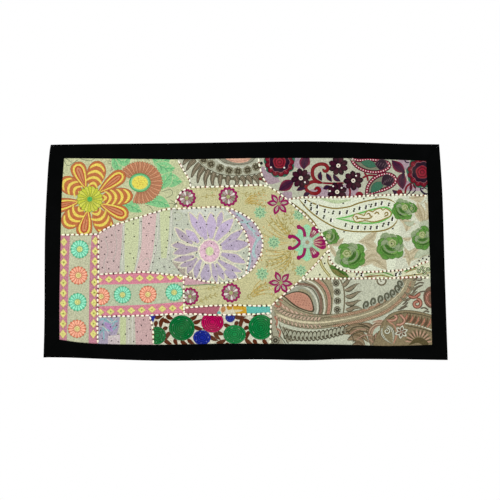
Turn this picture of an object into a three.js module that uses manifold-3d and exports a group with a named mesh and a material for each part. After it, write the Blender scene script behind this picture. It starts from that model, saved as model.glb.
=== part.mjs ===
// Patchwork wall hanging: fourteen old embroidered pieces, cut to shape, fitted edge to edge
// and sewn into one panel, with a black cotton strip along each side, mitred at the corners.
// Millimetres, +Z up. The front faces -Y, the wall is the plane y = 0, and the origin is the
// middle of the top edge. It hangs flat along the top and swells gently forward further down.
import * as THREE from 'three';
import { mergeVertices } from 'three/addons/utils/BufferGeometryUtils.js';
import Module from 'manifold-3d';

const wasm = await Module();
wasm.setup();

// Driving sizes
const DROP = 541;              // top edge to the lowest point of the foot
const PATCH_THICKNESS = 1.8;   // embroidered cotton on its backing cloth
const BORDER_THICKNESS = 2.6;  // the border strip is folded over, so it is thicker
const SEAM_GAP = 0.3;          // between two pieces, where the seam's thread runs
const CELL = 30;               // spacing of the points that carry the hang's shape
const CELLS_ACROSS = 35;
const CELLS_DOWN = 18;
const SPARE = 12;              // how far the uncut sheet stands above the top edge
const EDGE_STEP = 26;          // spacing of the points along an edge or a seam
const SEAM_STEP = 15;
const THROUGH = 40;            // depth of a cut, more than the cloth's swell and thickness
const BEHIND = 5;              // how far behind the wall plane a cut starts

// How it hangs: nothing moves in the flat strip along the top, and below it each swell stands
// forward of the wall by its depth at the foot. Lean is how far it drifts for each mm of drop.
const FLAT_STRIP = 48;
const SWELL_GROWTH = 1.3;
const CORNER_LIFT = 4;
const CORNER_REACH = 500;
const CORNER_POWER = 6;
const SWELLS = [
  { x: -395, width: 85, depth: 5.5, lean: -0.08 },
  { x: -190, width: 105, depth: 3.5, lean: 0.06 },
  { x: 25, width: 120, depth: 6.0, lean: -0.05 },
  { x: 240, width: 95, depth: 4.0, lean: 0.07 },
  { x: 425, width: 75, depth: 6.0, lean: 0.10 },
];

// Edges of the whole hanging and of the panel inside the border, as (x, z) points that a
// smooth curve passes through. Each runs clockwise, seen from the front.
const OUTER_EDGES = {
  top: [[-483, -6], [-348, -4], [-162, -2], [110, 2], [247, 1], [396, -4], [480, -5]],
  right: [[480, -5], [488, -131], [494, -341], [500, -539]],
  foot: [[500, -539], [272, -537], [148, -540], [24, -538], [-224, -541], [-445, -533], [-500, -533]],
  left: [[-500, -533], [-498, -436], [-497, -222], [-489, -56], [-483, -6]],
};
const INNER_EDGES = {
  top: [[-450, -39], [-262, -41], [-150, -42], [24, -39], [247, -39], [346, -42], [448, -46]],
  right: [[448, -46], [452, -136], [456, -255], [462, -502]],
  foot: [[462, -502], [353, -505], [247, -502], [-26, -499], [-222, -502], [-378, -499], [-461, -489]],
  left: [[-461, -489], [-461, -366], [-456, -136], [-450, -39]],
};

// Corners where three or more pieces meet, as (x, z)
const MEETINGS = {
  bandTop: [-365, -228],
  bandFork: [-365, -328],
  bandFoot: [-367, -432],
  bandEnd: [-154, -331],
  lilacCorner: [-238, -429],
  remnantTop: [-152, -410],
  remnantFoot: [-153, -425],
  archFoot: [-170, -165],
  archShoulder: [-136, -112],
  archCrown: [56, -109],
  crescentTop: [-51, -162],
  crescentFoot: [0, -329],
  roseTop: [105, -144],
  archPoint: [209, -264],
  paisleyTop: [139, -340],
  paisleyFoot: [63, -405],
  discTop: [63, -424],
};

// The seams. Each runs smoothly through the meetings and points named here, and a seam that
// ends at the border is written a little past the panel's edge, so that it cuts right through.
const SEAMS = [
  { name: 'marigold foot', through: [[-472, -230], 'bandTop'] },
  { name: 'bands and lilac', through: ['bandTop', 'bandFork', 'bandFoot', [-366, -512]] },
  {
    name: 'marigold slope',
    through: ['bandTop', [-343, -212], [-277, -190], [-200, -167], 'archFoot'],
  },
  { name: 'arch shoulder', through: ['archFoot', [-173, -148], [-158, -121], 'archShoulder'] },
  { name: 'marigold side', through: ['archShoulder', [-138, -96], [-153, -70], [-176, -30]] },
  { name: 'arch top', through: ['archShoulder', [-46, -109], [37, -106], 'archCrown'] },
  { name: 'feather side', through: ['archCrown', [44, -88], [35, -62], [31, -28]] },
  { name: 'arch right shoulder', through: ['archCrown', [77, -121], 'roseTop'] },
  {
    name: 'rose top',
    through: ['roseTop', [133, -137], [237, -136], [338, -131], [400, -130], [464, -134]],
  },
  { name: 'arch right slope', through: ['roseTop', [161, -195], [187, -226], 'archPoint'] },
  { name: 'arch lower slope', through: ['archPoint', [174, -302], 'paisleyTop'] },
  { name: 'paisley shoulder', through: ['paisleyTop', [93, -379], 'paisleyFoot'] },
  {
    name: 'rose foot',
    through: ['archPoint', [207, -287], [228, -311], [270, -321], [360, -319], [408, -313],
      [430, -302], [472, -289]],
  },
  {
    name: 'paisley top',
    through: ['paisleyTop', [193, -338], [354, -337], [430, -334], [474, -341]],
  },
  { name: 'paisley side', through: ['paisleyFoot', 'discTop', [63, -453], [60, -514]] },
  { name: 'remnant top', through: ['remnantTop', [-59, -404], [29, -405], 'paisleyFoot'] },
  {
    name: 'foot line',
    through: ['bandFoot', 'lilacCorner', 'remnantFoot', [-59, -428], 'discTop'],
  },
  { name: 'lilac side', through: ['lilacCorner', [-230, -461], [-228, -514]] },
  { name: 'level band end', through: ['bandEnd', [-153, -366], 'remnantTop', 'remnantFoot'] },
  {
    name: 'level band top',
    through: ['bandFork', [-288, -323], [-244, -322], [-200, -327], 'bandEnd'],
  },
  {
    name: 'striped flower rim',
    through: ['bandEnd', [-97, -345], [-50, -348], 'crescentFoot', [29, -296], [42, -263],
      [37, -224], [8, -187], 'crescentTop', [-129, -163], 'archFoot'],
  },
  {
    name: 'crescent inside',
    through: ['crescentTop', [-29, -183], [-2, -222], [10, -263], [5, -303], 'crescentFoot'],
  },
];

// The pieces: a point inside each one, and the colour that it reads as from across a room
const PATCHES = [
  { name: 'marigold_patch', at: [-300, -130], colour: 0xb9925f },
  { name: 'rosette_band_upright', at: [-410, -380], colour: 0xc9b08f },
  { name: 'rosette_band_level', at: [-260, -380], colour: 0xcfa58f },
  { name: 'striped_flower_patch', at: [-200, -250], colour: 0xc7b9b4 },
  { name: 'crescent_patch', at: [25, -260], colour: 0xbcb2cc },
  { name: 'arch_patch', at: [110, -240], colour: 0xc8ad84 },
  { name: 'feather_print_patch', at: [-60, -75], colour: 0xb7b79f },
  { name: 'damson_floral_patch', at: [280, -90], colour: 0xa99a8c },
  { name: 'rose_patch', at: [330, -230], colour: 0xb8bf9a },
  { name: 'cream_sliver_patch', at: [300, -329], colour: 0xd9d9bf },
  { name: 'paisley_print_patch', at: [250, -420], colour: 0xaf9f8a },
  { name: 'disc_patch', at: [-80, -470], colour: 0xb8a89a },
  { name: 'remnant_strip', at: [-60, -416], colour: 0xa8877c },
  { name: 'lilac_corner_patch', at: [-300, -470], colour: 0xa9aec0 },
];
const BORDERS = [
  { name: 'border_top', at: [0, -20], colour: 0x060606 },
  { name: 'border_foot', at: [0, -520], colour: 0x060606 },
  { name: 'border_left', at: [-477, -270], colour: 0x060606 },
  { name: 'border_right', at: [475, -270], colour: 0x060606 },
];
const CLOTH_ROUGHNESS = 0.9;

// How far the back of the cloth stands forward of the wall at (x, z)
function swell(x, z) {
  const down = Math.min(Math.max((-z - FLAT_STRIP) / (DROP - FLAT_STRIP), 0), 1);
  const growth = down ** SWELL_GROWTH;
  let forward = CORNER_LIFT * Math.abs(x / CORNER_REACH) ** CORNER_POWER * down ** 2;
  for (const fold of SWELLS) {
    const offset = (x - fold.x + fold.lean * z) / fold.width;
    forward += fold.depth * growth * Math.exp(-offset * offset);
  }
  return forward;
}

// A closed surface as a solid that can be joined and cut
function solidOf(geometry) {
  geometry.deleteAttribute('normal');
  geometry.deleteAttribute('uv');
  const merged = mergeVertices(geometry);
  return new wasm.Manifold(new wasm.Mesh({
    numProp: 3,
    vertProperties: new Float32Array(merged.attributes.position.array),
    triVerts: new Uint32Array(merged.index.array),
  }));
}

// A solid as a named piece in its own colour
function meshOf(solid, name, colour) {
  const { vertProperties, triVerts } = solid.getMesh();
  const geometry = new THREE.BufferGeometry();
  geometry.setAttribute('position', new THREE.BufferAttribute(vertProperties, 3));
  geometry.setIndex(new THREE.BufferAttribute(triVerts, 1));
  geometry.computeVertexNormals();
  const material = new THREE.MeshStandardMaterial({
    color: colour, roughness: CLOTH_ROUGHNESS, metalness: 0,
  });
  const mesh = new THREE.Mesh(geometry, material);
  mesh.name = name;
  return mesh;
}

// A wide sheet of cloth in the shape of the hang, its back on the swells. Its top row of cells
// is the flat strip, and every other cell is square.
function sheet(thickness) {
  const geometry = new THREE.BoxGeometry(
    CELLS_ACROSS * CELL, thickness, CELLS_DOWN * CELL, CELLS_ACROSS, 1, CELLS_DOWN,
  );
  geometry.translate(0, -thickness / 2, CELL - FLAT_STRIP - CELLS_DOWN * CELL / 2);
  const place = geometry.attributes.position;
  for (let i = 0; i < place.count; i += 1) {
    if (place.getZ(i) > -FLAT_STRIP + CELL / 2) place.setZ(i, SPARE);
    place.setY(i, place.getY(i) - swell(place.getX(i), place.getZ(i)));
  }
  return solidOf(geometry);
}

// Points along a smooth curve that passes through every given point
function along(points, step) {
  const curve = new THREE.SplineCurve(points.map(([x, z]) => new THREE.Vector2(x, z)));
  const spans = points.length - 1;
  const result = [curve.getPoint(0)];
  for (let span = 0; span < spans; span += 1) {
    const length = curve.points[span].distanceTo(curve.points[span + 1]);
    const count = Math.max(1, Math.round(length / step));
    for (let i = 1; i <= count; i += 1) result.push(curve.getPoint((span + i / count) / spans));
  }
  return result;
}

// Points moved sideways, to the left of the way that the line runs
function besides(points, distance, closed) {
  const last = points.length - 1;
  return points.map((point, i) => {
    const before = points[i > 0 ? i - 1 : closed ? last : 0];
    const after = points[i < last ? i + 1 : closed ? 0 : last];
    const one = point.clone().sub(before);
    const two = after.clone().sub(point);
    const way = one.normalize().add(two.normalize()).normalize();
    const stretch = 1 / Math.max(0.5, Math.abs(way.dot(two.lengthSq() > 0 ? two : one)));
    return new THREE.Vector2(point.x - way.y * distance * stretch, point.y + way.x * distance * stretch);
  });
}

// A flat (x, z) outline taken right through the cloth
function prism(outline) {
  const geometry = new THREE.ExtrudeGeometry(new THREE.Shape(outline), {
    depth: THROUGH, bevelEnabled: false, steps: 1,
  });
  geometry.rotateX(Math.PI / 2);
  geometry.translate(0, BEHIND, 0);
  return solidOf(geometry);
}

// The closed line of four edges, grown outward by a distance
function loop(edges, grown) {
  const points = Object.values(edges).flatMap((edge) => along(edge, EDGE_STEP).slice(0, -1));
  return besides(points, grown, true);
}

// A thin cut along a line, as wide as a seam
function cut(points) {
  const half = SEAM_GAP / 2;
  const ends = [points[0].clone(), points[points.length - 1].clone()];
  const start = ends[0].clone().sub(points[1]).setLength(half);
  const finish = ends[1].clone().sub(points[points.length - 2]).setLength(half);
  const line = [ends[0].add(start), ...points.slice(1, -1), ends[1].add(finish)];
  return prism([...besides(line, half, false), ...besides(line, -half, false).reverse()]);
}

// Whether a solid lies over the point (x, z), seen from the front
function covers(solid, [x, z]) {
  const { vertProperties, triVerts } = solid.getMesh();
  const corner = (index) => new THREE.Vector3(vertProperties[3 * index], vertProperties[3 * index + 2], 0);
  const target = new THREE.Vector3(x, z, 0);
  const face = new THREE.Triangle();
  for (let i = 0; i < triVerts.length; i += 3) {
    face.set(corner(triVerts[i]), corner(triVerts[i + 1]), corner(triVerts[i + 2]));
    if (face.getArea() > 0 && face.containsPoint(target)) return true;
  }
  return false;
}

// The separate pieces of a cut cloth, found by the point that each one covers
function addPieces(group, cloth, table) {
  const loose = cloth.decompose();
  for (const { name, at, colour } of table) {
    group.add(meshOf(loose.find((piece) => covers(piece, at)), name, colour));
  }
}

function panel() {
  let cloth = sheet(PATCH_THICKNESS).intersect(prism(loop(INNER_EDGES, -SEAM_GAP / 2)));
  for (const seam of SEAMS) {
    const points = seam.through.map((point) => (Array.isArray(point) ? point : MEETINGS[point]));
    cloth = cloth.subtract(cut(along(points, SEAM_STEP)));
  }
  return cloth;
}

function border() {
  let cloth = sheet(BORDER_THICKNESS).intersect(prism(loop(OUTER_EDGES, 0)));
  cloth = cloth.subtract(prism(loop(INNER_EDGES, SEAM_GAP / 2)));
  for (const side of Object.keys(OUTER_EDGES)) {
    const [outer, inner] = [OUTER_EDGES[side][0], INNER_EDGES[side][0]].map((p) => new THREE.Vector2(...p));
    const mitre = outer.clone().sub(inner).setLength(SEAM_GAP * 4);
    cloth = cloth.subtract(cut([inner.sub(mitre), outer.add(mitre)]));
  }
  return cloth;
}

const group = new THREE.Group();
addPieces(group, panel(), PATCHES);
addPieces(group, border(), BORDERS);

export default group;
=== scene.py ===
"""Patchwork wall hanging: fourteen old embroidered pieces, a couched cord on every seam between
them, and four black cotton border strips. The front faces -Y and +Z is up. Each piece's motifs
are drawn in millimetres, as (x, z) places seen from the front and measured from a corner near
the piece's lower left, and laid down in order."""
import math
import random
from collections import Counter

import bpy
import numpy as np
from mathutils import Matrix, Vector, kdtree, noise
from mathutils.geometry import delaunay_2d_cdt


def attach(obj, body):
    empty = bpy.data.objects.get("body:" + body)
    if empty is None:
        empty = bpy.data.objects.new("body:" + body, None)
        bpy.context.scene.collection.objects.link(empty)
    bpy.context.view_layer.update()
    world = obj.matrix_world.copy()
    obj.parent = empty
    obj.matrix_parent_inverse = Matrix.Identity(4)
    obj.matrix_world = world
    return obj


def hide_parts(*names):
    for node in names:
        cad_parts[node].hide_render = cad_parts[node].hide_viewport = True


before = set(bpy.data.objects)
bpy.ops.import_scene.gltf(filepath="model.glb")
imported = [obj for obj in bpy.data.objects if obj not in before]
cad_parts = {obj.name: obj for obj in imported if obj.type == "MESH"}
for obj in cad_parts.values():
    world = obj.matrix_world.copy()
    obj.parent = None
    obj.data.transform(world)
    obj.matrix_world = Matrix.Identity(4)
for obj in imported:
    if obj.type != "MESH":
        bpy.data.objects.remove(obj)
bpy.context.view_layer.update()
MM = 0.001

# The hang, as the solids have it: flat along the top, and swelling forward further down.
# Each swell is (middle, width, depth at the foot, drift for each mm of drop).
DROP = 541
FLAT_STRIP = 48
SWELL_GROWTH = 1.3
CORNER_LIFT = 4
CORNER_REACH = 500
CORNER_POWER = 6
SWELLS = (
    (-395, 85, 5.5, -0.08),
    (-190, 105, 3.5, 0.06),
    (25, 120, 6.0, -0.05),
    (240, 95, 4.0, 0.07),
    (425, 75, 6.0, 0.10),
)

# Cloth
PATCH_THICKNESS = 1.55
BORDER_THICKNESS = 2.5
GRID = 3.6                 # spacing of the points that carry a patch's surface
BORDER_GRID = 6.0
ROW_SHARE = 0.866          # how far apart the grid's rows are, as a share of its spacing
RIM_STEPS = (1.1, 2.6)     # two lines of points just inside a seam, where the cloth rolls over
RIM_SPACING = 3
SEAM_CLEAR = 4             # the grid keeps this far from a seam
MOTIF_CLEAR = 0.9          # and this far from a motif's outline
JOIN = 0.02                # outline points that are nearer than this become one
SEAM_SPACING = 3.2         # longest side of a triangle at a seam
PLUMP = 0.55               # how far a patch swells up between its seams
PLUMP_REACH = 11.0
EDGE_ROLL = 0.7            # how far the cloth drops at a seam
EDGE_ROLL_REACH = 1.3
BORDER_PLUMP = 0.4
PUCKER = 0.28              # little gathers that the seam's thread draws in the cloth
PUCKER_REACH = 9.0
PUCKER_PITCH = 12.0
UNEVEN = ((0.45, 46.0, 3.0), (0.225, 19.0, 7.0))   # height, width and layer of its unevenness
LAP = 0.2                  # how far neighbouring pieces run under one another
BACK_SHOW = 0.35           # how much of a print comes through to the back
LEAST_REACH = 4            # stitches laid round a middle are measured at least this far out

# How finely a motif's outline is drawn
SPAN_POINTS = 12
STROKE_POINTS = (7, 40)    # fewest and most along a line
STROKE_STEP = 3
ROUND_POINTS = (10, 90)    # fewest and most round a disc or flower
LOBE_POINTS = 6
STRIP_STEP = 6
TIP = 0.05                 # half the width that a leaf or drop keeps at its point


def linear(value):
    value /= 255
    return value / 12.92 if value <= 0.04045 else ((value + 0.055) / 1.055) ** 2.4


def dye(red, green, blue):
    """A colour as it is seen, in the renderer's own linear values."""
    return (linear(red), linear(green), linear(blue))


def swell(x, z):
    """How far the back of the cloth stands forward of the wall, in mm."""
    down = np.clip((-z - FLAT_STRIP) / (DROP - FLAT_STRIP), 0, 1)
    forward = CORNER_LIFT * np.abs(x / CORNER_REACH) ** CORNER_POWER * down ** 2
    for middle, width, depth, lean in SWELLS:
        offset = (x - middle + lean * z) / width
        forward = forward + depth * down ** SWELL_GROWTH * np.exp(-offset * offset)
    return forward


# Curves and outlines

def curve(points, count):
    """Evenly spread points on the smooth line through the given ones."""
    points = np.asarray(points, float)
    if len(points) == 2:
        share = np.linspace(0, 1, count)[:, None]
        return points[0] * (1 - share) + points[1] * share
    padded = np.vstack([2 * points[0] - points[1], points, 2 * points[-1] - points[-2]])
    fine = []
    for a, b, c, d in zip(padded, padded[1:], padded[2:], padded[3:]):
        t = np.linspace(0, 1, SPAN_POINTS, endpoint=False)[:, None]
        fine.append(b + 0.5 * t * (c - a + t * (2 * a - 5 * b + 4 * c - d + t * (3 * (b - c) + d - a))))
    fine = np.vstack(fine + [points[-1:]])
    run = np.concatenate([[0], np.cumsum(np.linalg.norm(np.diff(fine, axis=0), axis=1))])
    places = np.linspace(0, run[-1], count)
    return np.column_stack([np.interp(places, run, fine[:, 0]), np.interp(places, run, fine[:, 1])])


def length_of(points):
    return float(np.linalg.norm(np.diff(np.asarray(points, float), axis=0), axis=1).sum())


def swept(points, half):
    """The outline of a band whose half width changes along a smooth middle line."""
    count = int(np.clip(length_of(points) / STROKE_STEP, *STROKE_POINTS))
    middle = curve(points, count)
    way = np.gradient(middle, axis=0)
    way /= np.maximum(np.linalg.norm(way, axis=1), 1e-9)[:, None]
    side = np.column_stack([-way[:, 1], way[:, 0]]) * half(np.linspace(0, 1, count))[:, None]
    return np.vstack([middle + side, (middle - side)[::-1]])


def stroke(points, width):
    """A drawn or couched line of even width, a little thinner at its ends."""
    return swept(points, lambda t: width / 2 * np.clip(0.35 + 9 * np.minimum(t, 1 - t), 0, 1))


def even_band(points, width):
    return swept(points, lambda t: np.full(len(t), width / 2))


def leaf(points, width, belly=1.0):
    """Pointed at both ends. A belly over 1 is widest towards the tip."""
    return swept(points, lambda t: width / 2 * np.sin(np.pi * t ** belly) + TIP)


def drop(points, width, crown=0.7):
    """Pointed at its start and round at its end."""
    def half(t):
        rise = np.sin(np.pi / 2 * np.clip(t / crown, 0, 1))
        turn = np.sqrt(np.clip(1 - (np.clip(t - crown, 0, 1) / (1 - crown)) ** 2, 0, 1))
        return width / 2 * rise * turn + TIP
    return swept(points, half)


def disc(at, radius, squash=1.0, turn=0.0):
    return bloom(at, radius, 1, 0, turn, squash)


def bloom(at, radius, lobes, depth, turn=0.0, squash=1.0):
    """A round flower outline with so many lobes, its notches cut in by a share of its radius."""
    count = int(np.clip(max(radius * 2, lobes * LOBE_POINTS if depth else 0), *ROUND_POINTS))
    angle = np.linspace(0, 2 * np.pi, count, endpoint=False)
    reach = radius * (1 - depth * (1 - np.abs(np.cos(lobes * angle / 2))))
    return place_round(at, np.column_stack([reach * np.cos(angle), reach * squash * np.sin(angle)]), turn)


def place_round(at, points, turn):
    """Points drawn round the middle, turned by degrees and put in their place."""
    c, s = math.cos(math.radians(turn)), math.sin(math.radians(turn))
    return np.column_stack([points[:, 0] * c - points[:, 1] * s, points[:, 0] * s + points[:, 1] * c]) + at


def polar(at, angle, reach):
    return (at[0] + reach * math.cos(math.radians(angle)), at[1] + reach * math.sin(math.radians(angle)))


def ray(at, angle, start, end):
    """A straight middle line that points away from a flower's heart."""
    return [polar(at, angle, start), polar(at, angle, end)]


def strip(left, right):
    """The cloth between two wavy edges."""
    count = int(max(8, length_of(left) / STRIP_STEP))
    return np.vstack([curve(left, count), curve(right, count)[::-1]])


def coil(at, radius, turns, start, width_in=0.2):
    """A middle line that winds in towards a point."""
    share = np.linspace(0, 1, 7 + int(6 * abs(turns)))
    reach = radius * (1 - (1 - width_in) * share)
    angle = np.radians(start) + 2 * np.pi * turns * share
    return np.column_stack([at[0] + reach * np.cos(angle), at[1] + reach * np.sin(angle)])


def grown(ring, by):
    """A closed outline moved outward."""
    ahead = np.roll(ring, -1, axis=0) - ring
    ahead /= np.maximum(np.linalg.norm(ahead, axis=1), 1e-6)[:, None]
    behind = np.roll(ahead, 1, axis=0)
    out = np.column_stack([ahead[:, 1] + behind[:, 1], -ahead[:, 0] - behind[:, 0]])
    out /= np.maximum(np.linalg.norm(out, axis=1), 0.3)[:, None]
    x, z = ring[:, 0], ring[:, 1]
    turning = (x * np.roll(z, -1) - np.roll(x, -1) * z).sum()
    return ring + out * (by if turning > 0 else -by)


def inside(outline, places):
    """Whether each place lies inside a closed outline, by how often the outline goes round it."""
    x, z = places[:, 0][:, None], places[:, 1][:, None]
    ax, az = outline[:, 0][None], outline[:, 1][None]
    bx, bz = np.roll(outline[:, 0], -1)[None], np.roll(outline[:, 1], -1)[None]
    side = (bx - ax) * (z - az) - (x - ax) * (bz - az)
    up = (az <= z) & (bz > z) & (side > 0)
    down = (az > z) & (bz <= z) & (side < 0)
    return (up.sum(1) - down.sum(1)) != 0


class Print:
    """The motifs of one piece of cloth, in the order in which they are laid down."""

    def __init__(self, ground, corner=(0, 0)):
        """The corner is where in the hanging the piece's own places are measured from."""
        self.ground = ground
        self.corner = np.array(corner, float)
        self.shapes = []

    def lay(self, outline, colour, lift=0.0, rows=None, edge=None, line=0.9):
        """Rows says how stitches run: ("line", degrees), ("ring", middle) or ("ray", middle).
        Edge is the colour of a thread laid round the motif, and line its width."""
        outline = np.asarray(outline, float) + self.corner
        if rows and rows[0] != "line":
            rows = (rows[0], self.corner + rows[1])
        if edge:
            self.shapes.append((grown(outline, line), edge, lift, rows))
        self.shapes.append((outline, colour, lift, rows))


# Sheets of cloth on the CAD pieces' outlines

def front_edge(node):
    """The outline of a CAD piece's front face, in order, as (x, z) places in mm."""
    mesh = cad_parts[node].data
    place = {}
    corner = [place.setdefault(tuple(round(c / MM, 2) for c in v.co), len(place)) for v in mesh.vertices]
    spots = np.array(list(place))
    front = -spots[:, 1] - swell(spots[:, 0], spots[:, 2]) > 1
    edges = Counter()
    for face in mesh.polygons:
        loop = [corner[i] for i in face.vertices]
        if front[loop].all():
            edges.update((a, b) for a, b in zip(loop, loop[1:] + loop[:1]) if a != b)
    following = {a: b for (a, b), times in edges.items() if times > edges.get((b, a), 0)}
    start = next(iter(following))
    ring = [start]
    while following[ring[-1]] != start:
        ring.append(following[ring[-1]])
    ring = spots[ring][:, [0, 2]]
    ring = ring[np.linalg.norm(np.roll(ring, -1, axis=0) - ring, axis=1) > 0.05]
    return grown(ring, LAP)


def even_ring(ring, step):
    """A closed outline with points at most a step apart, its corners kept."""
    points = []
    for a, b in zip(ring, np.roll(ring, -1, axis=0)):
        count = max(1, int(np.ceil(np.linalg.norm(b - a) / step)))
        points.extend(a + (b - a) * i / count for i in range(count))
    return np.array(points)


def edge_distance(places, ring):
    """How far each place is from a closed outline, and how far round the outline that is."""
    a, b = ring, np.roll(ring, -1, axis=0)
    along = b - a
    lengths = np.linalg.norm(along, axis=1)
    begins = np.concatenate([[0], np.cumsum(lengths)[:-1]])
    best = np.full(len(places), 1e9)
    run = np.zeros(len(places))
    for start, way, size, begin in zip(a, along, lengths, begins):
        share = np.clip(((places - start) @ way) / (size * size), 0, 1)
        gap = np.linalg.norm(places - start - share[:, None] * way, axis=1)
        near = gap < best
        best[near] = gap[near]
        run[near] = begin + share[near] * size
    return best, run


def triangles(ring, shapes, spacing):
    """Cuts a flat outline into triangles that follow every motif's own outline."""
    points = [ring]
    edges = [(i, (i + 1) % len(ring)) for i in range(len(ring))]
    total = len(ring)
    low, high = ring.min(0), ring.max(0)
    for outline, _, _, _ in shapes:
        if (outline.max(0) < low).any() or (outline.min(0) > high).any():
            continue
        points.append(outline)
        edges += [(total + i, total + (i + 1) % len(outline)) for i in range(len(outline))]
        total += len(outline)
    fixed = np.vstack(points)
    rows = np.arange(low[1], high[1], spacing * ROW_SHARE)
    grid = np.array([(x + spacing / 2 * (k % 2), z) for k, z in enumerate(rows)
                     for x in np.arange(low[0], high[0] + spacing, spacing)])
    grid = grid[inside(ring, grid)]
    depth, _ = edge_distance(grid, ring)
    fine = even_ring(ring, RIM_SPACING)
    way = np.roll(fine, -1, axis=0) - np.roll(fine, 1, axis=0)
    inward = np.column_stack([-way[:, 1], way[:, 0]]) / np.linalg.norm(way, axis=1)[:, None]
    if inside(ring, fine + inward).sum() < len(fine) / 2:
        inward = -inward
    rims = np.vstack([fine + inward * reach for reach in RIM_STEPS])
    extra = np.vstack([grid[depth > SEAM_CLEAR], rims[inside(ring, rims)]])
    tree = kdtree.KDTree(len(fixed))
    for i, (x, z) in enumerate(fixed):
        tree.insert((x, z, 0), i)
    tree.balance()
    extra = [p for p in extra if tree.find((p[0], p[1], 0))[2] > MOTIF_CLEAR]
    everything = [Vector(p) for p in fixed] + [Vector(p) for p in extra]
    places, _, faces, _, _, _ = delaunay_2d_cdt(everything, edges, [], 0, JOIN, False)
    places = np.array([tuple(p) for p in places])
    faces = np.array([f for f in faces if len(f) == 3])
    kept, faces = np.unique(faces[inside(ring, places[faces].mean(1))], return_inverse=True)
    return places[kept], faces.reshape(-1, 3)


def unevenness(places):
    """Old cloth never lies quite flat."""
    return np.array([sum(height * noise.noise(Vector((x / size, z / size, layer)))
                         for height, size, layer in UNEVEN) for x, z in places])


def front_height(places, ring, thickness, plump):
    """How far the cloth's front stands forward of the wall, and its back, in mm."""
    gap, run = edge_distance(places, ring)
    gathers = 0.5 + 0.5 * np.sin(2 * np.pi * run / PUCKER_PITCH)
    full = 1 - np.exp(-gap / PLUMP_REACH)
    back = swell(places[:, 0], places[:, 1])
    front = (
        back + thickness + plump * full - EDGE_ROLL * np.exp(-gap / EDGE_ROLL_REACH)
        - PUCKER * gathers * np.exp(-gap / PUCKER_REACH) + unevenness(places) * full
    )
    return front, back


def stitch_place(rows, spots):
    """Where each corner lies among a motif's stitches: across the rows and along them, in mm."""
    if rows is None:
        return spots
    kind, about = rows
    if kind == "line":
        c, s = math.cos(math.radians(about)), math.sin(math.radians(about))
        return np.column_stack([spots[:, 0] * s - spots[:, 1] * c, spots[:, 0] * c + spots[:, 1] * s])
    offset = spots - np.asarray(about)
    reach = np.linalg.norm(offset, axis=1)
    angle = np.arctan2(offset[:, 1], offset[:, 0])
    if kind == "ring":
        return np.column_stack([reach, angle * max(reach.mean(), LEAST_REACH)])
    return np.column_stack([angle * max(reach.mean(), LEAST_REACH), reach])


def dressed_mesh(name, verts, faces, colours, relief, cloth, thread):
    """A mesh with its colour, its relief and its two kinds of cloth place on every corner."""
    mesh = bpy.data.meshes.new(name)
    mesh.from_pydata(verts.tolist(), [], faces.tolist())
    tint = np.ones((len(faces), 3, 4))
    tint[:, :, :3] = colours[:, None]
    mesh.attributes.new("dye", "FLOAT_COLOR", "CORNER").data.foreach_set("color", tint.ravel())
    mesh.attributes.new("relief", "FLOAT", "CORNER").data.foreach_set("value", relief.ravel())
    for layer, spots in (("cloth", cloth), ("thread", thread)):
        mesh.uv_layers.new(name=layer).data.foreach_set("uv", spots.ravel())
    mesh.polygons.foreach_set("use_smooth", np.ones(len(faces), bool))
    mesh.validate()
    mesh.update()
    piece = bpy.data.objects.new(name, mesh)
    bpy.context.scene.collection.objects.link(piece)
    return piece


def closed_sheet(name, places, faces, front, back, colours, lifted, threads, ground):
    """A thin closed sheet from its flat triangles and the height of its two sides, in mm."""
    count = len(places)
    verts = np.vstack([
        np.column_stack([places[:, 0], -front, places[:, 1]]),
        np.column_stack([places[:, 0], -back, places[:, 1]]),
    ]) * MM
    a, b, c = (places[faces[:, i]] for i in range(3))
    turn = (b[:, 0] - a[:, 0]) * (c[:, 1] - a[:, 1]) - (b[:, 1] - a[:, 1]) * (c[:, 0] - a[:, 0])
    wrong = turn < 0
    faces[wrong] = faces[wrong][:, ::-1]
    threads[wrong] = threads[wrong][:, ::-1]
    edge = {}
    for f, (i, j, k) in enumerate(faces):
        for p, q in ((i, j), (j, k), (k, i)):
            if edge.pop((q, p), None) is None:
                edge[(p, q)] = f
    sides, owner = [], []
    for (p, q), f in edge.items():
        sides += [(q, p, p + count), (q, p + count, q + count)]
        owner += [f, f]
    sides = np.array(sides)
    everything = np.vstack([faces, faces[:, ::-1] + count, sides])
    paler = colours * BACK_SHOW + np.asarray(ground) * (1 - BACK_SHOW)
    relief = np.zeros((len(everything), 3))
    relief[:len(faces)] = (lifted > 0)[:, None]
    spots = verts[everything][:, :, [0, 2]]
    stitched = spots.copy()
    stitched[:len(faces)] = threads * MM
    return dressed_mesh(name, verts, everything, np.vstack([colours, paler, colours[owner]]), relief,
                        spots, stitched)


RINGS = {node: front_edge(node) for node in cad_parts}


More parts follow.
